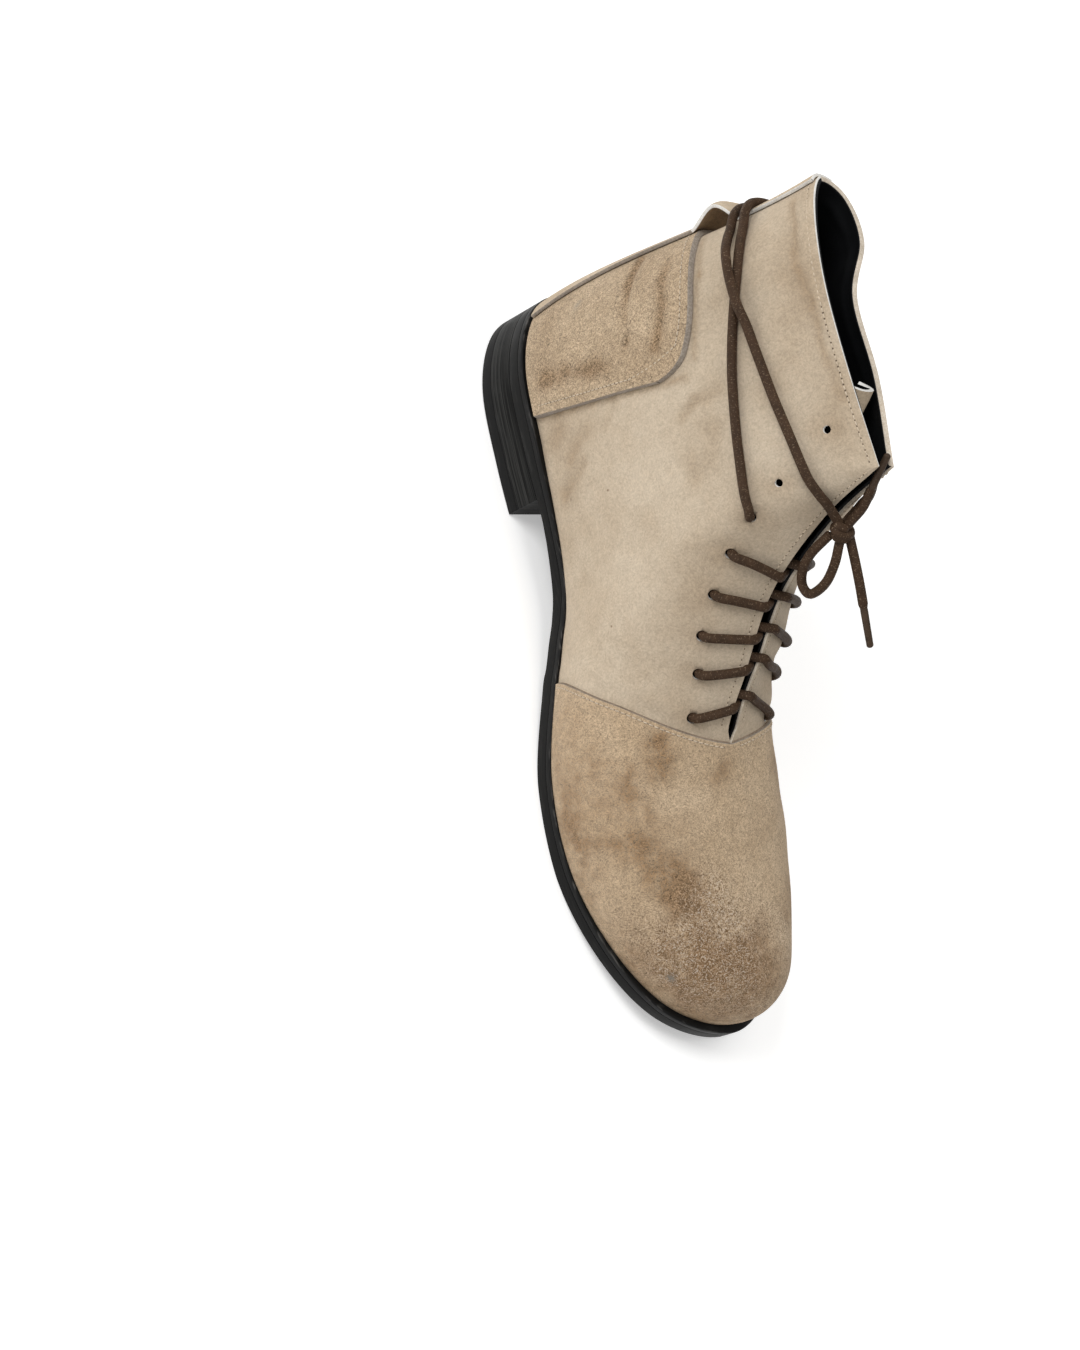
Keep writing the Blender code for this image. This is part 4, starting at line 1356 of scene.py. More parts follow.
@dataclass
class Upper(Part):
    """Quarters in one sheet round the heel, and the vamp lapped over them, with punched holes."""

    stitching: Stitching
    eyelets: Eyelets
    quarter_thick: float = 2.2
    vamp_thick: float = 1.15
    vamp_lift: float = 1.2
    lap_rib: float = 9.5
    steps_per_rib: int = 14
    rows: int = 96
    row_crowd: float = 1.25
    vamp_rows: int = 56
    vamp_columns: int = 84
    bulge: float = 0.25
    edge_fade: float = 0.02
    seam_fade: float = 0.06
    # Each part of the quarters' top edge, from the inner throat on: its cut finish and its lining's row
    rims: tuple[tuple[int, int], ...] = ((2, 4), (2, 7), (3, 3), (2, 4))
    # Stitch rows: their distance from an edge and the ribs that they run between
    edge_stitch: float = 3.0
    seam_stitch: float = 1.6
    edge_runs: tuple[Spot, ...] = ((-4.93, -0.5), (0.5, 4.93), (5.07, 8.8), (-8.8, -5.07))
    edge_probe: float = 0.04
    seam_probe: float = 0.05
    # The shade line under the vamp's seam: ribs behind it, lift and radius
    shade: Point = (0.006, 0.1, 0.5)
    # Lace holes: width and amount of the dent and of the darker ring in it
    hole_dent: Spot = (4.2, 0.45)
    hole_dark_ring: Spot = (4.5, 0.25)
    hole_reach: float = 0.02
    punch_depths: Floats = (-6.0, -2.0, 2.0, 6.0)
    # How uneven the quarters' rubbing and painted shade, the vamp's rubbing and painted shade, and the
    # scuffed toe are
    uneven: Point = (0.6, 1.8, 2.5)
    # Hollows and folds that were pressed into the quarters, outer side and then inner side
    quarter_folds: Strokes = stroke_rows(
        (.85, .933, 1.37, .933, 1.9, .65), (1.37, .933, 2.07, .94, 1.9, .78),
        (2.07, .94, 3.02, .953, 1.9, .78), (3.02, .953, 4.18, .966, 1.9, .65),
        (.85, .962, 3.02, .974, 2.0, -.39), (1.91, .895, 3.1, .918, 7.0, .65),
        (3.68, .545, 3.6, .578, 2.0, 1.17), (3.6, .578, 3.58, .62, 2.2, 1.17),
        (3.58, .62, 3.57, .665, 3.0, .65), (3.78, .56, 3.72, .61, 3.2, -.72),
        (4.19, .535, 4.49, .534, 3.4, .78), (4.00, .624, 4.35, .593, 4.6, .78),
        (4.22, .58, 4.52, .562, 3.4, -.45), (2.96, .075, 3.02, .055, 6.0, .91),
        (3.22, .19, 3.39, .107, 2.8, 1.04), (3.4, .19, 3.55, .115, 3.2, -.65),
        (3.56, .16, 3.77, .06, 2.6, 1.17), (3.7, .19, 3.9, .09, 3.2, -.59),
        (3.07, .32, 3.28, .275, 2.0, .65), (3.3, .36, 3.42, .3, 4.0, -.39),
        (2.6, .7, 3.12, .64, 5.0, .52), (4.6, .64, 4.75, .38, 6.0, .65),
        (5.6, .58, 5.2, .33, 7.0, .65), (6.6, .5, 6.1, .22, 7.0, .65),
        (7.4, .44, 7.3, .2, 6.0, .45), (-2.9, .14, -3.5, .13, 7.0, .9),
        (-3.7, .62, -3.9, .54, 7.0, .8), (-.8, .95, -2.4, .955, 2.6, .5),
        (-2.4, .955, -4.3, .962, 2.6, .5), (-4.7, .62, -4.8, .36, 6.0, .5),
        (-5.7, .55, -5.3, .3, 7.0, .5), (-6.7, .48, -6.2, .22, 7.0, .4),
    )
    # Darker marks on the quarters: painted shade in the folds and hollows, over the collar band and over the
    # front by the holes, with some brown rubbing
    quarter_rub_and_shade: Strokes = stroke_rows(
        (.85, .933, 2.07, .94, 1.8, .41), (2.07, .94, 3.02, .953, 1.8, .46),
        (3.02, .953, 4.18, .966, 1.8, .36), (.8, .965, 2.6, .96, 9.0, .19),
        (2.6, .96, 4.5, .95, 11.0, .22), (1.91, .895, 3.1, .918, 8.0, .19),
        (3.68, .545, 3.6, .578, 2.2, .41), (3.6, .578, 3.58, .62, 2.6, .48),
        (3.58, .62, 3.57, .665, 3.4, .29), (4.19, .535, 4.49, .534, 3.6, .31),
        (4.00, .624, 4.35, .593, 5.0, .26), (2.96, .075, 3.02, .055, 6.5, .43),
        (3.22, .19, 3.39, .107, 3.2, .43), (3.56, .16, 3.77, .06, 3.0, .48),
        (3.07, .32, 3.28, .275, 2.2, .24), (3.00, .12, 4.2, .05, 12.0, .24),
        (1.7, .8, 2.6, .7, 8.0, .12), (5.6, .8, 6.6, .8, 12.0, .17),
        (6.54, .7, 7.2, .73, 8.0, .22), (7.8, .735, 8.8, .76, 8.0, .19),
        (-2.9, .14, -3.5, .13, 7.0, .45), (-3.7, .62, -3.9, .54, 7.0, .4),
        (-.8, .96, -4.4, .96, 7.0, .3), (-6.5, .7, -8.6, .75, 8.0, .32),
    )
    # Painted contact shade, with some dirt, in the step beside the counter
    step_shade_lines: Strokes = stroke_rows(
        (2.7, .02, 3.25, .575, 1.5, .6), (3.05, .612, 1.9, .664, 1.5, .5),
        (1.9, .664, .95, .65, 1.5, .5), (-2.7, .02, -3.25, .575, 1.5, .6),
        (-3.05, .612, -1.9, .664, 1.5, .5), (-1.9, .664, -.95, .65, 1.5, .5),
    )
    vamp_folds: Strokes = stroke_rows(
        (9.75, .78, 10.25, .42, 8.0, .5), (10.5, .86, 10.9, .5, 9.0, .45),
        (-9.8, .78, -10.3, .4, 8.0, .5), (-10.6, .84, -11.0, .48, 9.0, .4),
    )
    # Brown stains and rubbing on the vamp, with painted shade over the toe, its lower front and low along
    # the welt
    vamp_rub_and_shade: Strokes = stroke_rows(
        (9.42, .65, 9.7, .69, 5.5, .62), (9.4, .56, 9.52, .6, 6.0, .16),
        (9.9, .5, 10.6, .6, 17.0, .1), (9.6, .2, 10.7, .2, 15.0, .22),
        (9.95, .46, 10.08, .53, 6.0, .36), (9.3, .97, 9.45, .94, 5.0, .4),
        (10.7, .48, 11.05, .6, 7.0, .55), (11.02, .595, 11.24, .665, 7.5, .75),
        (10.63, .15, 10.72, .45, 5.0, .2), (10.51, .099, 10.66, .16, 7.0, .26),
        (9.6, .05, 12.2, .05, 7.0, .22), (12.39, .649, 12.26, .9, 10.0, .58),
        (12.3, .1, 13.6, .2, 14.0, .22), (12.4, .4, 13.9, .5, 22.0, .42),
        (-9.6, .7, -10.0, .6, 7.0, .4), (-9.6, .05, -12.2, .05, 7.0, .28),
        (-11.2, .55, -11.7, .6, 9.0, .45),
    )
    vamp_scuffed: Strokes = stroke_rows(
        (11.1, .77, 11.45, .84, 10.0, .65), (11.5, .74, 11.9, .7, 13.0, .6),
        (11.97, .5, 12.49, .77, 13.0, .65), (12.0, .3, 12.8, .35, 12.0, .7),
        (13.2, .55, 13.9, .5, 10.0, .5), (-12.2, .8, -12.8, .7, 11.0, .4),
    )

    def build(self) -> list[Piece]:
        """Makes the quarters, the vamp and their stitching."""
        return [self.build_quarters(), self.build_vamp(), *self.build_stitches()]

    def build_quarters(self) -> Piece:
        """Makes both quarters as one lined sheet and punches the lace holes.

        Returns:
            The piece.
        """
        count = round(2 * self.lap_rib * self.steps_per_rib) + 1
        u = np.linspace(-self.lap_rib, self.lap_rib, count)[:, None]
        v = 1 - (1 - np.linspace(0, 1, self.rows + 1)[None, :]) ** self.row_crowd
        flat = self.last.wall(u, v)
        normals = grid_normals(flat)
        sunk = marks(self.last, self.quarter_folds, flat)
        punched = self.eyelets.punched()
        dents = [Stroke((place, h), (place, h + 0.001), *self.hole_dent) for place, h, _ in punched]
        sunk += marks(self.last, dents, flat)
        sunk *= np.clip((1 - np.broadcast_to(v, sunk.shape)) / self.edge_fade, 0, 1)
        outer = flat - normals * sunk[..., None]
        draft = Draft()
        draft.shell(outer, normals, self.quarter_thick, (0, 1, 2), "blr", self.bulge)
        inner = outer - normals * self.quarter_thick
        corners = (-self.lap_rib, -self.last.corner, 0, self.last.corner, self.lap_rib)
        turns = [int(np.abs(u[:, 0] - c).argmin()) for c in corners]
        for part, (rim, split) in enumerate(self.rims):
            run = slice(turns[part], turns[part + 1] + 1)
            edge = outer[run, -1], outer[run, -2], inner[run, -1]
            draft.cut_edge(*edge, False, rim, 1, self.bulge, split)
        finishes = ("quarter_suede", "lining", "pale_cut", "white_cut")
        piece = self.make(draft, "upper_quarters", finishes, Slot.SUEDE, "upper")
        self.punch(piece)
        points = vertex_points(piece)
        reach = self.hole_reach
        dark_rings = [Stroke((place, h - reach), (place, h + reach), *self.hole_dark_ring) for place, h, _ in punched]
        # Brown rubbing and painted shade, with darker rings round the holes and painted contact shade beside
        # the counter
        rub_and_shade = marks(self.last, [*self.quarter_rub_and_shade, *dark_rings], points, self.uneven[0])
        paint(piece, "burnish_and_shade", rub_and_shade + marks(self.last, self.step_shade_lines, points))
        paint(piece, "scuff", 0.0)
        paint(piece, "wear_and_highlight", 0.0)
        return piece

    def punch(self, piece: Piece) -> None:
        """Cuts the round lace holes through a piece, with pale walls.

        Args:
            piece: The sheet to punch.
        """
        draft = Draft()
        for place, height, size in self.eyelets.punched():
            at, out = self.last.wall(place, height), self.last.normal(place, height)
            path = at + out * np.array(self.punch_depths)[:, None]
            draft.tube(path, size / 2, sides=24)
        cutter = draft.build("hole_punch", [self.finishes["white_cut"]], Slot.SUEDE)
        cut = piece.modifiers.new("lace_holes", "BOOLEAN")
        cut.operation = "DIFFERENCE"
        cut.solver = "EXACT"
        cut.object = cutter
        cut.material_mode = "TRANSFER"
        graph = bpy.context.evaluated_depsgraph_get()
        mesh = bpy.data.meshes.new_from_object(piece.evaluated_get(graph))
        piece.modifiers.clear()
        piece.data = mesh
        bpy.data.objects.remove(cutter, do_unlink=True)

    def build_vamp(self) -> Piece:
        """Makes the vamp, from its lapped seam round the toe.

        Returns:
            The piece.
        """
        half = np.linspace(0, 1, self.vamp_rows)
        v = np.concatenate([half, half[-2::-1]])[None, :]
        side = np.where(np.arange(v.shape[1]) < len(half), 1.0, -1.0)[None, :]
        share = np.linspace(0, 1, self.vamp_columns)[:, None]
        start = self.last.seam_rib(v)
        place = start + (self.last.toe - start) * share
        flat = self.last.wall(place * side, v)
        normals = grid_normals(flat)
        normals[-1] = unit(normals[-1] + normals[-1][::-1])
        sunk = marks(self.last, self.vamp_folds, flat)
        sunk *= np.clip(share / self.seam_fade, 0, 1)
        outer = flat + normals * (self.vamp_lift - sunk)[..., None]
        draft = Draft()
        draft.shell(outer, normals, self.vamp_thick, (0, 1, 2), "ltb", 0.15)
        # The vamp's cut edge takes the darker grey cut, partly painted shade along the lapped seam
        finishes = ("vamp_suede", "lining", "grey_cut")
        piece = self.make(draft, "upper_vamp", finishes, Slot.SUEDE, "upper")
        points = vertex_points(piece)
        # Brown stains and rubbing, with painted shade on the toe
        paint(piece, "burnish_and_shade", marks(self.last, self.vamp_rub_and_shade, points, self.uneven[1]))
        paint(piece, "scuff", marks(self.last, self.vamp_scuffed, points, self.uneven[2]))
        paint(piece, "wear_and_highlight", 0.0)
        return piece

    def build_stitches(self) -> list[Piece]:
        """Sews the collar, the throat edges and the vamp seam.

        Returns:
            The pieces.
        """
        last, line, (behind, lift, radius) = self.last, Draft(), self.shade
        edge, edge_hole_shade, seam, seam_hole_shade = Draft(), Draft(), Draft(), Draft()
        for first, final in self.edge_runs:
            u = np.linspace(first, final, 160)
            fall = np.linalg.norm(last.wall(u, 1.0) - last.wall(u, 1 - self.edge_probe), axis=-1)
            v = 1 - self.edge_stitch * self.edge_probe / fall
            self.stitching.row(edge, edge_hole_shade, last.wall(u, v), last.normal(u, v))
        for side in (1, -1):
            v = np.linspace(0.03, 0.97, 120)
            start = last.seam_rib(v)
            ahead = last.wall(side * (start + self.seam_probe), v) - last.wall(side * start, v)
            u = side * (start + self.seam_probe * self.seam_stitch / np.linalg.norm(ahead, axis=-1))
            out = last.normal(u, v)
            self.stitching.row(seam, seam_hole_shade, last.wall(u, v) + out * self.vamp_lift, out)
            v = np.linspace(0.0, 0.995, 150)
            u = side * (last.seam_rib(v) - behind)
            line.tube(last.skin(u, v, lift), radius, sides=8)
        made = (
            (line, "seam_shadow_line", "seam_shade"),
            (edge, "edge_stitches", "thread_pale"),
            # Needle holes are dark discs of painted shade
            (edge_hole_shade, "edge_needle_hole_shade", "needle_hole_shade"),
            (seam, "seam_stitches", "thread_pale"),
            (seam_hole_shade, "seam_needle_hole_shade", "seam_shade"),
        )
        return [self.make(draft, name, (key,), Slot.SUEDE, "upper") for draft, name, key in made]


@dataclass
class Counter(Part):
    """The heel counter of coarse suede, laid on the quarters, with a felted cut edge."""

    stitching: Stitching
    rib_low: float = 2.67
    rib_high: float = 3.15
    top_back: float = 0.622
    top_rise: float = 0.12
    top_fall: float = 0.185
    round_from: float = 0.94
    round_by: float = 0.064
    foot: float = 0.012
    thick: float = 2.1
    lift: float = 2.25
    slant: float = 1.0
    bulge: float = 0.2
    columns: int = 161
    rows: int = 71
    column_crowd: float = 0.45
    uneven: float = 1.2
    scuffed: float = 0.12
    # Stitches: their distance from the edge, their runs up the front and along the top
    stitch_inset: float = 3.4
    front_run: Spot = (0.03, 0.86)
    top_run: Spot = (0.955, 0.16)
    eased_points: int = 9
    folds: Strokes = stroke_rows(
        (1.065, .45, 2.428, .414, 2.2, 1.1), (1.695, .565, 2.607, .527, 2.0, .7),
        (2.317, .108, 2.6, .27, 3.4, .7), (-1.2, .46, -2.4, .4, 3.2, .5),
        (-1.8, .25, -2.4, .22, 4.0, .5),
    )
    # Brown rubbing with painted shade along the folds, and darker low by the sole
    rub_and_shade: Strokes = stroke_rows(
        (.98, .455, 2.5, .41, 2.3, 1.1), (1.45, .57, 2.66, .525, 2.9, .8),
        (2.28, .08, 2.66, .34, 3.4, 1.0), (1.6, .1, 2.2, .06, 7.0, .3),
        (-1.2, .46, -2.4, .4, 3.4, .45), (-1.6, .1, -2.4, .07, 7.0, .35),
    )

    def place(self, a: Array, b: Array) -> tuple[Array, Array]:
        """Rib places and height shares on the counter.

        Args:
            a: Shares across, from -1 on the inner side to 1.
            b: Shares up, from 0 to 1.

        Returns:
            The rib places and the height shares.
        """
        top = self.top_back + self.top_rise * a**2 - self.top_fall * a**4
        over = np.clip((np.abs(a) - self.round_from) / (1 - self.round_from), 0, 1)
        top = top - self.round_by * (1 - np.sqrt(1 - over**2))
        return a * (self.rib_low + (self.rib_high - self.rib_low) * b), self.foot + b * (top - self.foot)

    def build(self) -> list[Piece]:
        """Makes the counter and its row of stitches.

        Returns:
            The pieces.
        """
        turn = np.linspace(-1, 1, self.columns)
        crowd = self.column_crowd
        a = (np.sin(turn * math.pi / 2) * crowd + turn * (1 - crowd))[:, None]
        u, v = self.place(a, np.linspace(0, 1, self.rows)[None, :])
        flat = self.last.wall(u, v)
        normals = grid_normals(flat)
        sunk = marks(self.last, self.folds, flat)
        outer = flat + normals * (self.lift - sunk)[..., None]
        draft = Draft()
        draft.shell(outer, normals, self.thick, (0, 1, 2), "tblr", self.bulge, self.slant)
        threads, holes = Draft(), Draft()
        front, top = np.linspace(*self.front_run, 60), np.linspace(*self.top_run, 80)
        across = np.concatenate([np.ones_like(front), top])
        up = np.concatenate([front, np.ones_like(top)])
        for side in (1, -1):
            self.stitching.row(threads, holes, *self.inset(side * across, up))
        made = (
            (draft, "counter_shell", ("counter_suede", "grey_cut", "grey_cut")),
            (threads, "counter_stitches", ("thread_pale",)),
            # Needle holes are dark discs of painted shade
            (holes, "counter_needle_hole_shade", ("needle_hole_shade",)),
        )
        pieces = [self.make(part, name, keys, Slot.COUNTER, "heel_counter") for part, name, keys in made]
        # Brown rubbing with painted shade in the folds
        rub_and_shade = marks(self.last, self.rub_and_shade, vertex_points(pieces[0]), self.uneven)
        paint(pieces[0], "burnish_and_shade", rub_and_shade)
        paint(pieces[0], "scuff", self.scuffed)
        return pieces

    def inset(self, a: Array, b: Array) -> tuple[Array, Array]:
        """The stitch line inside the counter's edge.

        Args:
            a: Shares across of the edge's points.
            b: Shares up of the edge's points.

        Returns:
            The line's points on the counter's face and the unit vectors out of it.
        """
        u, v = self.place(a, b)
        edge, out = self.last.wall(u, v), self.last.normal(u, v)
        along = unit(np.gradient(edge, axis=0))
        inward = unit(np.cross(out, along)) * np.sign(a)[:, None]
        middle = self.last.wall(a * 1.2, v * 0.5)
        turned = np.sign(np.sum(inward * (middle - edge), axis=-1))[:, None]
        moved = edge + inward * turned * self.stitch_inset
        kernel = np.ones(self.eased_points) / self.eased_points
        beyond = self.eased_points // 2
        padded = np.pad(moved, ((beyond, beyond), (0, 0)), mode="edge")
        eased = np.stack([np.convolve(padded[:, c], kernel, "valid") for c in range(3)], axis=1)
        return eased + out * self.lift, out


@dataclass
class BackStrip(Part):
    """The narrow strip up the back, which stands off above the counter as a pull loop."""

    half_foot: float = 1.12
    half_head: float = 0.46
    thick: float = 1.3
    foot: float = 0.02
    head: float = 0.994
    over_counter: float = 3.95
    over_quarter: float = 1.7
    arch_from: float = 0.612
    arch_to: float = 0.757
    arch: float = 7.2
    arch_lean: float = 1.15
    arch_round: float = 1.25
    rows: int = 170
    columns: int = 25
    bulge: float = 0.12

    def route(self) -> tuple[Array, Array, Array]:
        """The strip's run up the back to the collar.

        Returns:
            Height shares, lifts off the upper's face and stand-offs of the loop, in millimetres.
        """
        v = np.linspace(self.foot, self.head, self.rows)
        share = np.clip((v - self.arch_from) / (self.arch_to - self.arch_from), 0, 1)
        lift = self.over_counter + (self.over_quarter - self.over_counter) * ease(share)
        return v, lift, self.arch * np.sin(math.pi * share**self.arch_lean) ** self.arch_round

    def build(self) -> list[Piece]:
        """Makes the strip.

        Returns:
            The piece, in a list.
        """
        v, lift, stand_off = self.route()
        half = self.half_foot + (self.half_head - self.half_foot) * v
        u = np.linspace(-1, 1, self.columns)[:, None] * half
        back = self.last.normal(np.zeros_like(v), v)
        outer = self.last.skin(u, v[None, :], np.broadcast_to(lift, (len(u), len(v))))
        outer = outer + back * stand_off[:, None]
        normals = grid_normals(outer)
        inner = outer - normals * self.thick
        draft = Draft()
        draft.shell(outer, normals, self.thick, (0, 1, 2), "b", self.bulge)
        draft.cut_edge(outer[:, -1], outer[:, -2], inner[:, -1], False, 3, 3, self.bulge)
        loop = int(np.searchsorted(v, self.arch_from))
        for run, rim in ((slice(0, loop + 1), 2), (slice(loop, None), 3)):
            draft.cut_edge(outer[-1, run], outer[-2, run], inner[-1, run], True, rim, rim, self.bulge)
            draft.cut_edge(outer[0, run], outer[1, run], inner[0, run], False, rim, rim, self.bulge)
        finishes = ("strip_suede", "strip_back", "grey_cut", "white_cut")
        return [self.make(draft, "back_strip_band", finishes, Slot.SUEDE, "back_strip")]


@dataclass
class Tongue(Part):
    """The tongue behind the throat: black leather with a suede tip that stands in the collar."""

    thick: float = 1.6
    suede_from: float = 4.35
    tip_wrap: float = 3.8
    bulge: float = 0.15
    rows: int = 91
    columns: int = 29
    # Points of its middle line from the toe end up, with its half width and how far its sides curl
    table: tuple[Floats, ...] = (
        (181, -1.0, 57, 11.0, 3.5),
        (163, -2.0, 75, 14.0, 6.0),
        (141, -1.2, 96, 16.5, 8.0),
        (123, -0.4, 124, 13.0, 9.0),
        (111, -0.8, 148, 7.0, 6.0),
        (95.5, -2.2, 166, 4.9, 8.0),
    )

    def build(self) -> list[Piece]:
        """Makes the tongue.

        Returns:
            The piece, in a list.
        """
        table = np.array(self.table, float)
        along = np.linspace(0, len(table) - 1, self.rows)
        read = [smooth(table[:, k], along) for k in range(table.shape[1])]
        half, curl = (column[:, None, None] for column in read[3:])
        middle = np.stack(read[:3], axis=-1)
        inward = unit(np.cross(ACROSS, np.gradient(middle, axis=0)))
        inward *= np.where(inward[:, :1] > 0, -1.0, 1.0)
        across = np.linspace(-1, 1, self.columns)[None, :, None]
        wrap = self.tip_wrap * np.clip(along - self.suede_from, 0.001, 1)[:, None, None]
        side = ACROSS * np.sin(wrap * across) / np.minimum(wrap, 1) * half
        grid = middle[:, None] + side + inward[:, None] * curl * across**2
        face = grid_normals(grid)
        if np.sum(face * inward[:, None]) > 0:
            grid, face = grid[:, ::-1], -face[:, ::-1]
        split = int(np.searchsorted(along, self.suede_from))
        draft = Draft()
        draft.shell(grid[: split + 1], face[: split + 1], self.thick, (0, 0, 0), "tb", self.bulge)
        draft.shell(grid[split:], face[split:], self.thick, (1, 0, 2), "tbr", self.bulge)
        finishes = ("lining", "strip_suede", "white_cut")
        piece = self.make(draft, "tongue_leaf", finishes, Slot.LINING, "tongue")
        paint(piece, "wear_and_highlight", 0.0)
        return [piece]


@dataclass
class Sole(Part):
    """Welt, outsole, stacked heel with its rubber lift, and the insole inside."""

    gap: float = 0.3
    welt_thick: float = 2.2
    welt_width: float = 11.0
    flush: float = 0.18
    rounded: float = 0.65
    top_lift: float = 5.4
    breast_rib: float = 3.66
    heel_gaps: Spot = (0.12, 0.1)
    wear_and_highlight_reach: float = 0.4
    insole_margin: float = 3.6
    insole_thick: float = 2.6
    insole_hollow: float = 0.5
    insole_bed: float = 0.6
    steps_per_rib: int = 12

    def build(self) -> list[Piece]:
        """Makes the sole's pieces from the top down.

        Returns:
            The pieces.
        """
        last, top, (below, above) = self.last, self.welt_thick + 2 * self.gap, self.heel_gaps
        return [
            self.slab(
                "outsole_slab", "outsole", last.tread, lambda x: last.seat(x) - top,
                last.toe, ("sole_edge", "sole_under"), Slot.SOLE, self.flush,
            ),
            self.slab(
                "heel_stack", "heel_block", lambda x: 0 * x + self.top_lift + below,
                lambda x: last.tread(x) - above, self.breast_rib, ("heel_stack",) * 2, Slot.SOLE, self.flush,
            ),
            self.slab(
                "heel_top_lift", "heel_lift", lambda x: 0 * x, lambda x: 0 * x + self.top_lift,
                self.breast_rib, ("heel_rubber",) * 2, Slot.HEEL, self.rounded,
            ),
            self.build_welt(),
            self.build_insole(),
        ]

    def around(self, end: float) -> Array:
        """Rib places round the sole's edge, from the inner side by the back to the outer side."""
        count = round(end * self.steps_per_rib)
        half = np.linspace(0, end, count + 1)
        return np.concatenate([-half[:0:-1], half])

    @staticmethod
    def edge_rows(low: Array, high: Array, under: float, over: float) -> tuple[Array, Array]:
        """Rounded profile of an edge between two heights.

        Args:
            low: Heights of the underside at the edge's points.
            high: Heights of the top there.
            under: Rounding of the lower corner, in millimetres.
            over: Rounding of the upper corner.

        Returns:
            Insets of the profile's rows, and their heights for each point.
        """
        turn = np.radians([90, 66, 42, 20, 0])
        inset, rise = 1 - np.cos(turn), 1 - np.sin(turn)
        heights = [low[:, None] + under * rise, high[:, None] - over * rise[::-1]]
        return np.concatenate([under * inset, over * inset[::-1]]), np.concatenate(heights, axis=1)

    def slab(
        self, name: str, node: str, low: Callable[[Array], Array], high: Callable[[Array], Array],
        end: float, finishes: Sequence[str], slot: Slot, under: float,
    ) -> Piece:
        """Makes one layer of the sole, out to the sole's edge.

        Args:
            name: Name of the piece.
            node: The solid that it stands for.
            low: Height of its underside along the boot.
            high: Height of its top along the boot.
            end: Rib place of its front end.
            finishes: Names of its edge finish and its underside finish.
            slot: The record's material slot.
            under: Rounding of its lower corner, in millimetres.

        Returns:
            The piece.
        """
        u = self.around(end)
        edge = self.last.sole_edge(u)
        inset, heights = self.edge_rows(low(edge[:, 0]), high(edge[:, 0]), under, self.flush)
        rows = np.stack([self.last.sole_edge(u, i) for i in inset], axis=1)
        rows[..., 2] = heights
        draft = Draft()
        draft.grid(rows, 0)
        half = len(u) // 2
        share = np.linspace(0, 1, 13)[None, :, None]
        for row, flip in ((0, False), (-1, True)):
            inner, outer = rows[half::-1, row], rows[half:, row]
            draft.grid(inner[:, None] * (1 - share) + outer[:, None] * share, 1 if row == 0 else 0, flip)
        if end < self.last.toe:
            face = rows[0][:, None] * (1 - share[0]) + rows[-1][:, None] * share[0]
            draft.grid(face, 0, False)
        piece = self.make(draft, name, finishes, slot, node)
        self.wear_and_highlight(piece, rows[:, 3])
        return piece

    def wear_and_highlight(self, piece: Piece, line: Array) -> None:
        """Marks the corner of an edge, where the polish has worn; on the welt's top corner the pale mark is
        partly a painted highlight.

        Args:
            piece: The piece to mark.
            line: Points along the corner.
        """
        points = vertex_points(piece)
        mask = np.zeros(len(points))
        for part in np.array_split(np.arange(len(points)), max(1, len(points) // 2000)):
            away = np.linalg.norm(points[part][:, None] - line[None], axis=-1).min(axis=1)
            mask[part] = np.exp(-((away / self.wear_and_highlight_reach) ** 2))
        paint(piece, "wear_and_highlight", mask)

    def build_welt(self) -> Piece:
        """Makes the strip round the sole's edge that the upper stands on.

        Returns:
            The piece.
        """
        u = self.around(self.last.toe)
        edge = self.last.sole_edge(u)
        top = self.last.seat(edge[:, 0]) - self.gap * 0.5
        inset, heights = self.edge_rows(top - self.welt_thick - self.gap, top, self.flush, self.rounded)
        inset = np.concatenate([[self.welt_width], inset, [self.welt_width, self.welt_width]])
        rows = np.stack([self.last.sole_edge(u, i) for i in inset], axis=1)
        level = self.last.seat(rows[..., 0]) - self.gap * 0.5
        rows[..., 2] = level
        rows[:, 1:-2, 2] = heights
        rows[:, (0, -1), 2] = level[:, (0, -1)] - self.welt_thick
        draft = Draft()
        draft.grid(rows, 0)
        piece = self.make(draft, "welt_strip", ("welt_leather",), Slot.SOLE, "welt")
        # Pale wear on the welt's rounded top corner, partly a painted highlight
        self.wear_and_highlight(piece, rows[:, -5])
        return piece

    def build_insole(self) -> Piece:
        """Makes the insole, a little hollowed where the foot rests.

        Returns:
            The piece.
        """
        half = np.linspace(0, self.last.toe, round(self.last.toe * 6) + 1)
        inset = self.last.rib("margin", half) + self.insole_margin
        outer, inner = self.last.sole_edge(half, inset), self.last.sole_edge(-half - 1e-9, inset)
        share = np.linspace(0, 1, 21)[None, :, None]
        top = inner[:, None] * (1 - share) + outer[:, None] * share
        top[..., 2] = self.last.seat(top[..., 0]) + self.insole_thick
        top[..., 2] -= self.insole_hollow * np.sin(share[..., 0] * math.pi)
        draft = Draft()
        normals = np.broadcast_to(UP, top.shape)
        draft.shell(top[:, ::-1], normals, self.insole_thick - self.insole_bed, (0, 0, 0), "tb", 0.2)
        piece = self.make(draft, "insole_pad", ("lining",), Slot.LINING, "insole")
        paint(piece, "wear_and_highlight", 0.0)
        return piece


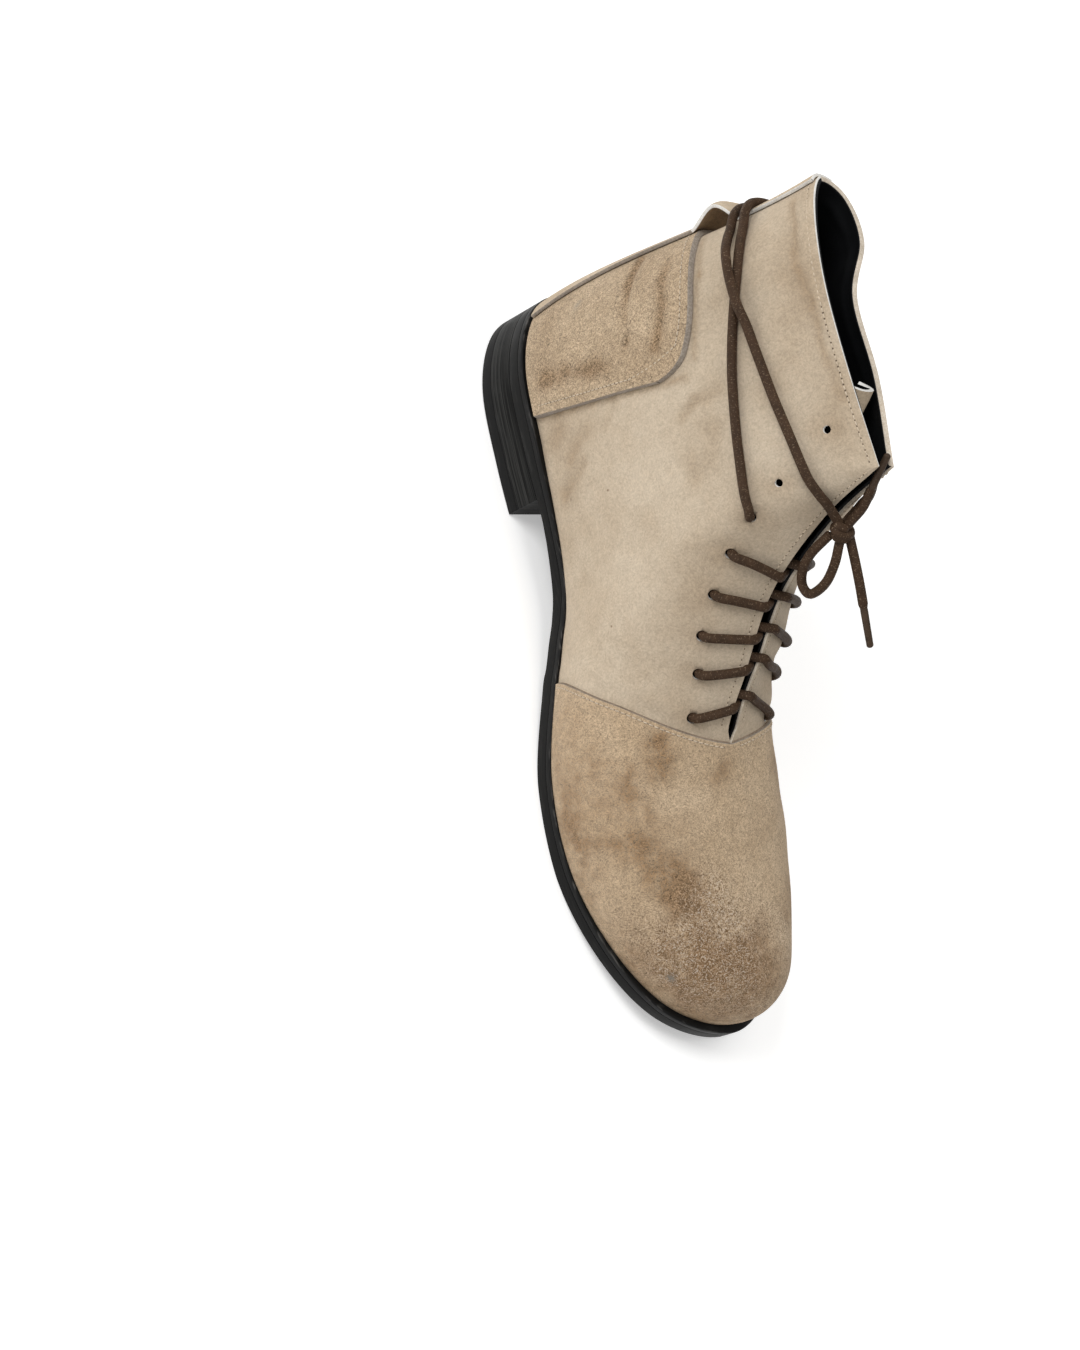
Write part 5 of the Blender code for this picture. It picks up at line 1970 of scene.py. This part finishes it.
@dataclass
class Lace(Part):
    """The lace: bars through the holes, strands round the shaft, a knot, one loop and two ends."""

    eyelets: Eyelets
    diameter: float = 3.6
    tip: float = 2.9
    tip_length: float = 14.0
    touch: float = 1.75
    at_corner: float = 2.7
    over_strip: float = 3.5
    over_lace: float = 5.4
    step: float = 0.9
    sides: int = 16
    # Shares of the near and the far point where a strand goes out of sight
    onward: Spot = (0.45, 0.55)
    # Bars: shares of the way from the hole to the throat's edge, lifts in the hole, then the height
    # shares and lifts over the edge and down in the slit
    bar_shares: Floats = (0.0, 0.02, 0.07, 0.18, 0.38, 0.60, 0.80, 0.94)
    bar_sunk: Floats = (-5.5, -1.6, 0.9)
    bar_edge: Spot = (0.995, 1.1)
    bar_under: tuple[Spot, ...] = ((0.975, -4.6), (0.93, -4.9))
    bar_dip: Point = (0.4, 0.0, 0.3)
    # Knot: its middle and lie, the turns' start, half width and depth, rise and sway, and the core
    knot_at: Point = (137.4, 0.0, 136.6)
    knot_down: Point = (0.32, 0.0, -0.95)
    knot_turns: float = 2.15
    knot_start: float = 2.4
    knot_half: Spot = (3.9, 2.5)
    knot_rise: Spot = (-2.0, 4.0)
    knot_sway: float = 0.5
    knot_tuck: float = 0.08
    knot_core: float = 3.2
    wrap_ends: tuple[Point, ...] = ((133.9, 3.3, 138.5), (133.9, -3.3, 138.5))
    end_inside: float = 1.6
    tip_slack: float = 0.2
    loop: tuple[Point, ...] = (
        (137.7, -2.8, 132.4), (141.8, -5.0, 124.0), (146.0, -4.2, 117.6), (150.8, -2.8, 114.6),
        (154.6, -1.8, 116.6), (153.0, -1.2, 124.0), (147.6, -0.6, 130.0), (141.3, -0.2, 134.1),
    )
    ends: tuple[tuple[Point, ...], ...] = (
        ((135.4, 0.5, 140.9), (132.2, 1.2, 147.6), (127.6, 0.5, 154.2)),
        ((140.6, 4.2, 135.8), (149.0, 5.6, 134.3), (157.0, 7.4, 132.2), (164.0, 9.2, 129.9)),
    )

    def build(self) -> list[Piece]:
        """Makes the whole lace."""
        return [*self.build_free(), *self.build_bars(), *self.build_wraps(), self.build_knot()]

    def cord_piece(self, name: str, path: Array, node: str, radius: Array | None = None) -> Piece:
        """Makes one stretch of lace.

        Args:
            name: Name of the piece.
            path: Its middle line.
            node: The solid that it stands for.
            radius: Its radius at each point, where it isn't the lace's own.

        Returns:
            The piece.
        """
        draft = Draft()
        draft.tube(path, self.diameter / 2 if radius is None else radius, self.sides)
        return self.make(draft, name, ("lace_braid",), Slot.CORD, node)

    def build_free(self) -> list[Piece]:
        """Makes the loop and the two ends, which are free cords, with their tips.

        Returns:
            The pieces.
        """
        path, slack = even_points(self.loop, self.step), self.tip_slack
        loop = self.cord_piece("lace_bow_loop", path, "lace_loop")
        self.declare(loop, path, "object", [])
        pieces = [loop]
        for number, route in enumerate(self.ends, 1):
            points = np.array(route)
            ahead = unit(points[-1] - points[-2])
            start = points[0] - unit(points[1] - points[0]) * self.end_inside
            full = np.concatenate([[start], points, [points[-1] + ahead * (self.tip_length + slack)]])
            path = even_points(full, self.step)
            before = np.linalg.norm(path - points[-1], axis=1).argmin()
            radius = np.full(len(path), self.diameter / 2)
            radius[before:] = self.tip / 2 - slack
            radius[before] = self.tip / 2 + 0.1
            cord = self.cord_piece(f"lace_tail_{number}", path, f"lace_end_{number}", radius)
            share = np.linspace(0, 1, 22)
            sleeve = points[-1] + ahead * (slack + share[:, None] * self.tip_length)
            girth = self.tip / 2 * (1 - 0.10 * share - 0.06 * np.exp(-((share - 0.02) / 0.03) ** 2))
            tip = Draft()
            tip.tube(sleeve, girth, sides=18)
            aglet = self.make(tip, f"lace_aglet_{number}", ("lace_tip",), Slot.TIP, f"lace_tip_{number}")
            self.declare(cord, path, "fitting", [aglet])
            pieces += [cord, aglet]
        return pieces

    def declare(
        self, piece: Piece, path: Array, far_end: str, along: list[Piece]
    ) -> None:
        """Does nothing with the cord: the piece is not declared.

        Args:
            piece: The cord; not used.
            path: Its middle line; not used.
            far_end: What is at its far end; not used.
            along: The pieces on it; not used.
        """

    def build_bars(self) -> list[Piece]:
        """Runs a strand from each laced hole over its quarter and down into the slit.

        Returns:
            The pieces.
        """
        pieces, holes, (near, far) = [], self.eyelets, self.onward
        share = np.array(self.bar_shares)
        lift = np.full(len(share), self.touch)
        lift[: len(self.bar_sunk)] = self.bar_sunk
        edge_height, edge_lift = self.bar_edge
        under_heights, under_lifts = np.array(self.bar_under).T
        for number, crossing in enumerate(holes.crossings, 1):
            for side, label in ((1, "outer"), (-1, "inner")):
                edge_rib = crossing if side > 0 else crossing - holes.apart_rib
                hole_rib, hole_height = (holes.outer if side > 0 else holes.inner)[number - 1]
                u = hole_rib + (edge_rib - hole_rib) * share
                v = hole_height + (edge_height - hole_height) * share
                path = list(self.last.skin(side * u, v, lift))
                under = self.last.skin(-side * edge_rib, under_heights, under_lifts)
                over = self.last.skin(side * edge_rib, edge_height, np.array([edge_lift]))[0]
                path += [over, near * over + far * under[0] + self.bar_dip, *under]
                name = f"lace_bar_{label}_{number}"
                pieces.append(self.cord_piece(name, even_points(path, 0.8), f"lace_crossing_{number}"))
        return pieces

    def build_wraps(self) -> list[Piece]:
        """Runs the two strands from the sixth holes round the shaft to the knot.

        Returns:
            The pieces.
        """
        low, corner, strip, lace = self.touch, self.at_corner, self.over_strip, self.over_lace
        out_of_hole = (
            (5.692, .737, -5.5), (5.69, .7365, -1.6), (5.63, .733, 1.4),
            (5.42, .717, low + .2), (5.1, .696, low + .2), (4.65, .683, low),
        )
        first = (
            (4.1, .693, low), (3.55, .715, low), (3.08, .739, low), (2.62, .763, low),
            (2.18, .784, low), (1.65, .796, low), (1.25, .799, low + .4),
            (.85, .8, strip), (.3, .8, strip), (-.3, .8, strip), (-.85, .8, strip),
            (-1.3, .8, low + .4), (-2.1, .802, low), (-2.9, .804, low), (-3.44, .806, low),
            (-3.86, .816, low), (-4.22, .831, low), (-4.6, .845, low), (-4.9, .86, corner),
            (-5.16, .884, corner), (-5.45, .93, low + .3), (-5.66, .97, low + .6),
        )
        second = (
            (-4.1, .695, low), (-3.32, .728, low), (-2.5, .749, low), (-1.95, .757, low),
            (-1.3, .761, low + .4), (-.85, .763, strip), (-.3, .764, strip), (.3, .764, strip),
            (.85, .762, strip), (1.25, .761, low + .8), (1.55, .763, low + 1.5),
            (1.85, .769, lace - .6), (2.15, .7745, lace), (2.45, .779, lace), (2.72, .783, lace - .8),
            (3.00, .789, low + 1.0), (3.28, .794, low), (3.88, .809, low), (4.22, .818, low),
            (4.53, .829, low), (4.85, .848, low + .2), (5.15, .875, low + .4),
            (5.42, .912, low + .3), (5.66, .955, low + .6),
        )
        pieces, (near, far) = [], self.onward
        for number, (side, rows, end) in enumerate(zip((1, -1), (first, second), self.wrap_ends), 1):
            table = np.array([*((side * rib, height, lift) for rib, height, lift in out_of_hole), *rows])
            inside = near * np.array(end) + far * np.array(self.knot_at)
            path = even_points([*self.last.skin(*table.T), end, inside], self.step)
            pieces.append(self.cord_piece(f"lace_strand_{number}", path, f"lace_wrap_{number}"))
        return pieces

    def build_knot(self) -> Piece:
        """Ties the knot: two turns of lace round the strands, over a short core.

        Returns:
            The piece.
        """
        centre = np.array(self.knot_at)
        down = unit(np.array(self.knot_down))
        out = np.cross(down, ACROSS)
        turn = np.linspace(0, self.knot_turns * 2 * math.pi, 110)
        share, angle = turn / turn[-1], turn + self.knot_start
        (wide, deep), (low, rise) = self.knot_half, self.knot_rise
        tuck = np.minimum(1, np.minimum(share, 1 - share) / self.knot_tuck) * 0.55 + 0.45
        ring = (
            centre
            + ACROSS * (np.cos(angle) * wide * tuck)[:, None]
            + out * (np.sin(angle) * deep * tuck)[:, None]
            + down * (low + rise * share + self.knot_sway * np.cos(angle))[:, None]
        )
        draft = Draft()
        draft.tube(ring, self.diameter / 2 * 0.96, self.sides)
        core = centre + down * np.linspace(-self.knot_core, self.knot_core, 9)[:, None]
        draft.tube(core, self.diameter / 2 * 0.9, sides=12)
        return self.make(draft, "lace_tied_knot", ("lace_braid",), Slot.CORD, "lace_knot")


def main() -> None:
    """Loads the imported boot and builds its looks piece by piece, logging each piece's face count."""
    for old in list(bpy.data.objects):
        bpy.data.objects.remove(old, do_unlink=True)
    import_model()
    last = Last()
    Studio().build()
    finishes = Finishes(last, Effects()).build()
    stitching, eyelets = Stitching(), Eyelets()
    parts = (
        Lace(last, finishes, eyelets),
        Upper(last, finishes, stitching, eyelets),
        Counter(last, finishes, stitching),
        BackStrip(last, finishes),
        Tongue(last, finishes),
        Sole(last, finishes),
    )
    for part in parts:
        for piece in part.build():
            log.info("%s: %d faces", piece.name, len(piece.data.polygons))


if __name__ == "__main__":
    logging.basicConfig(level=logging.INFO, format="%(name)s: %(message)s")
    main()
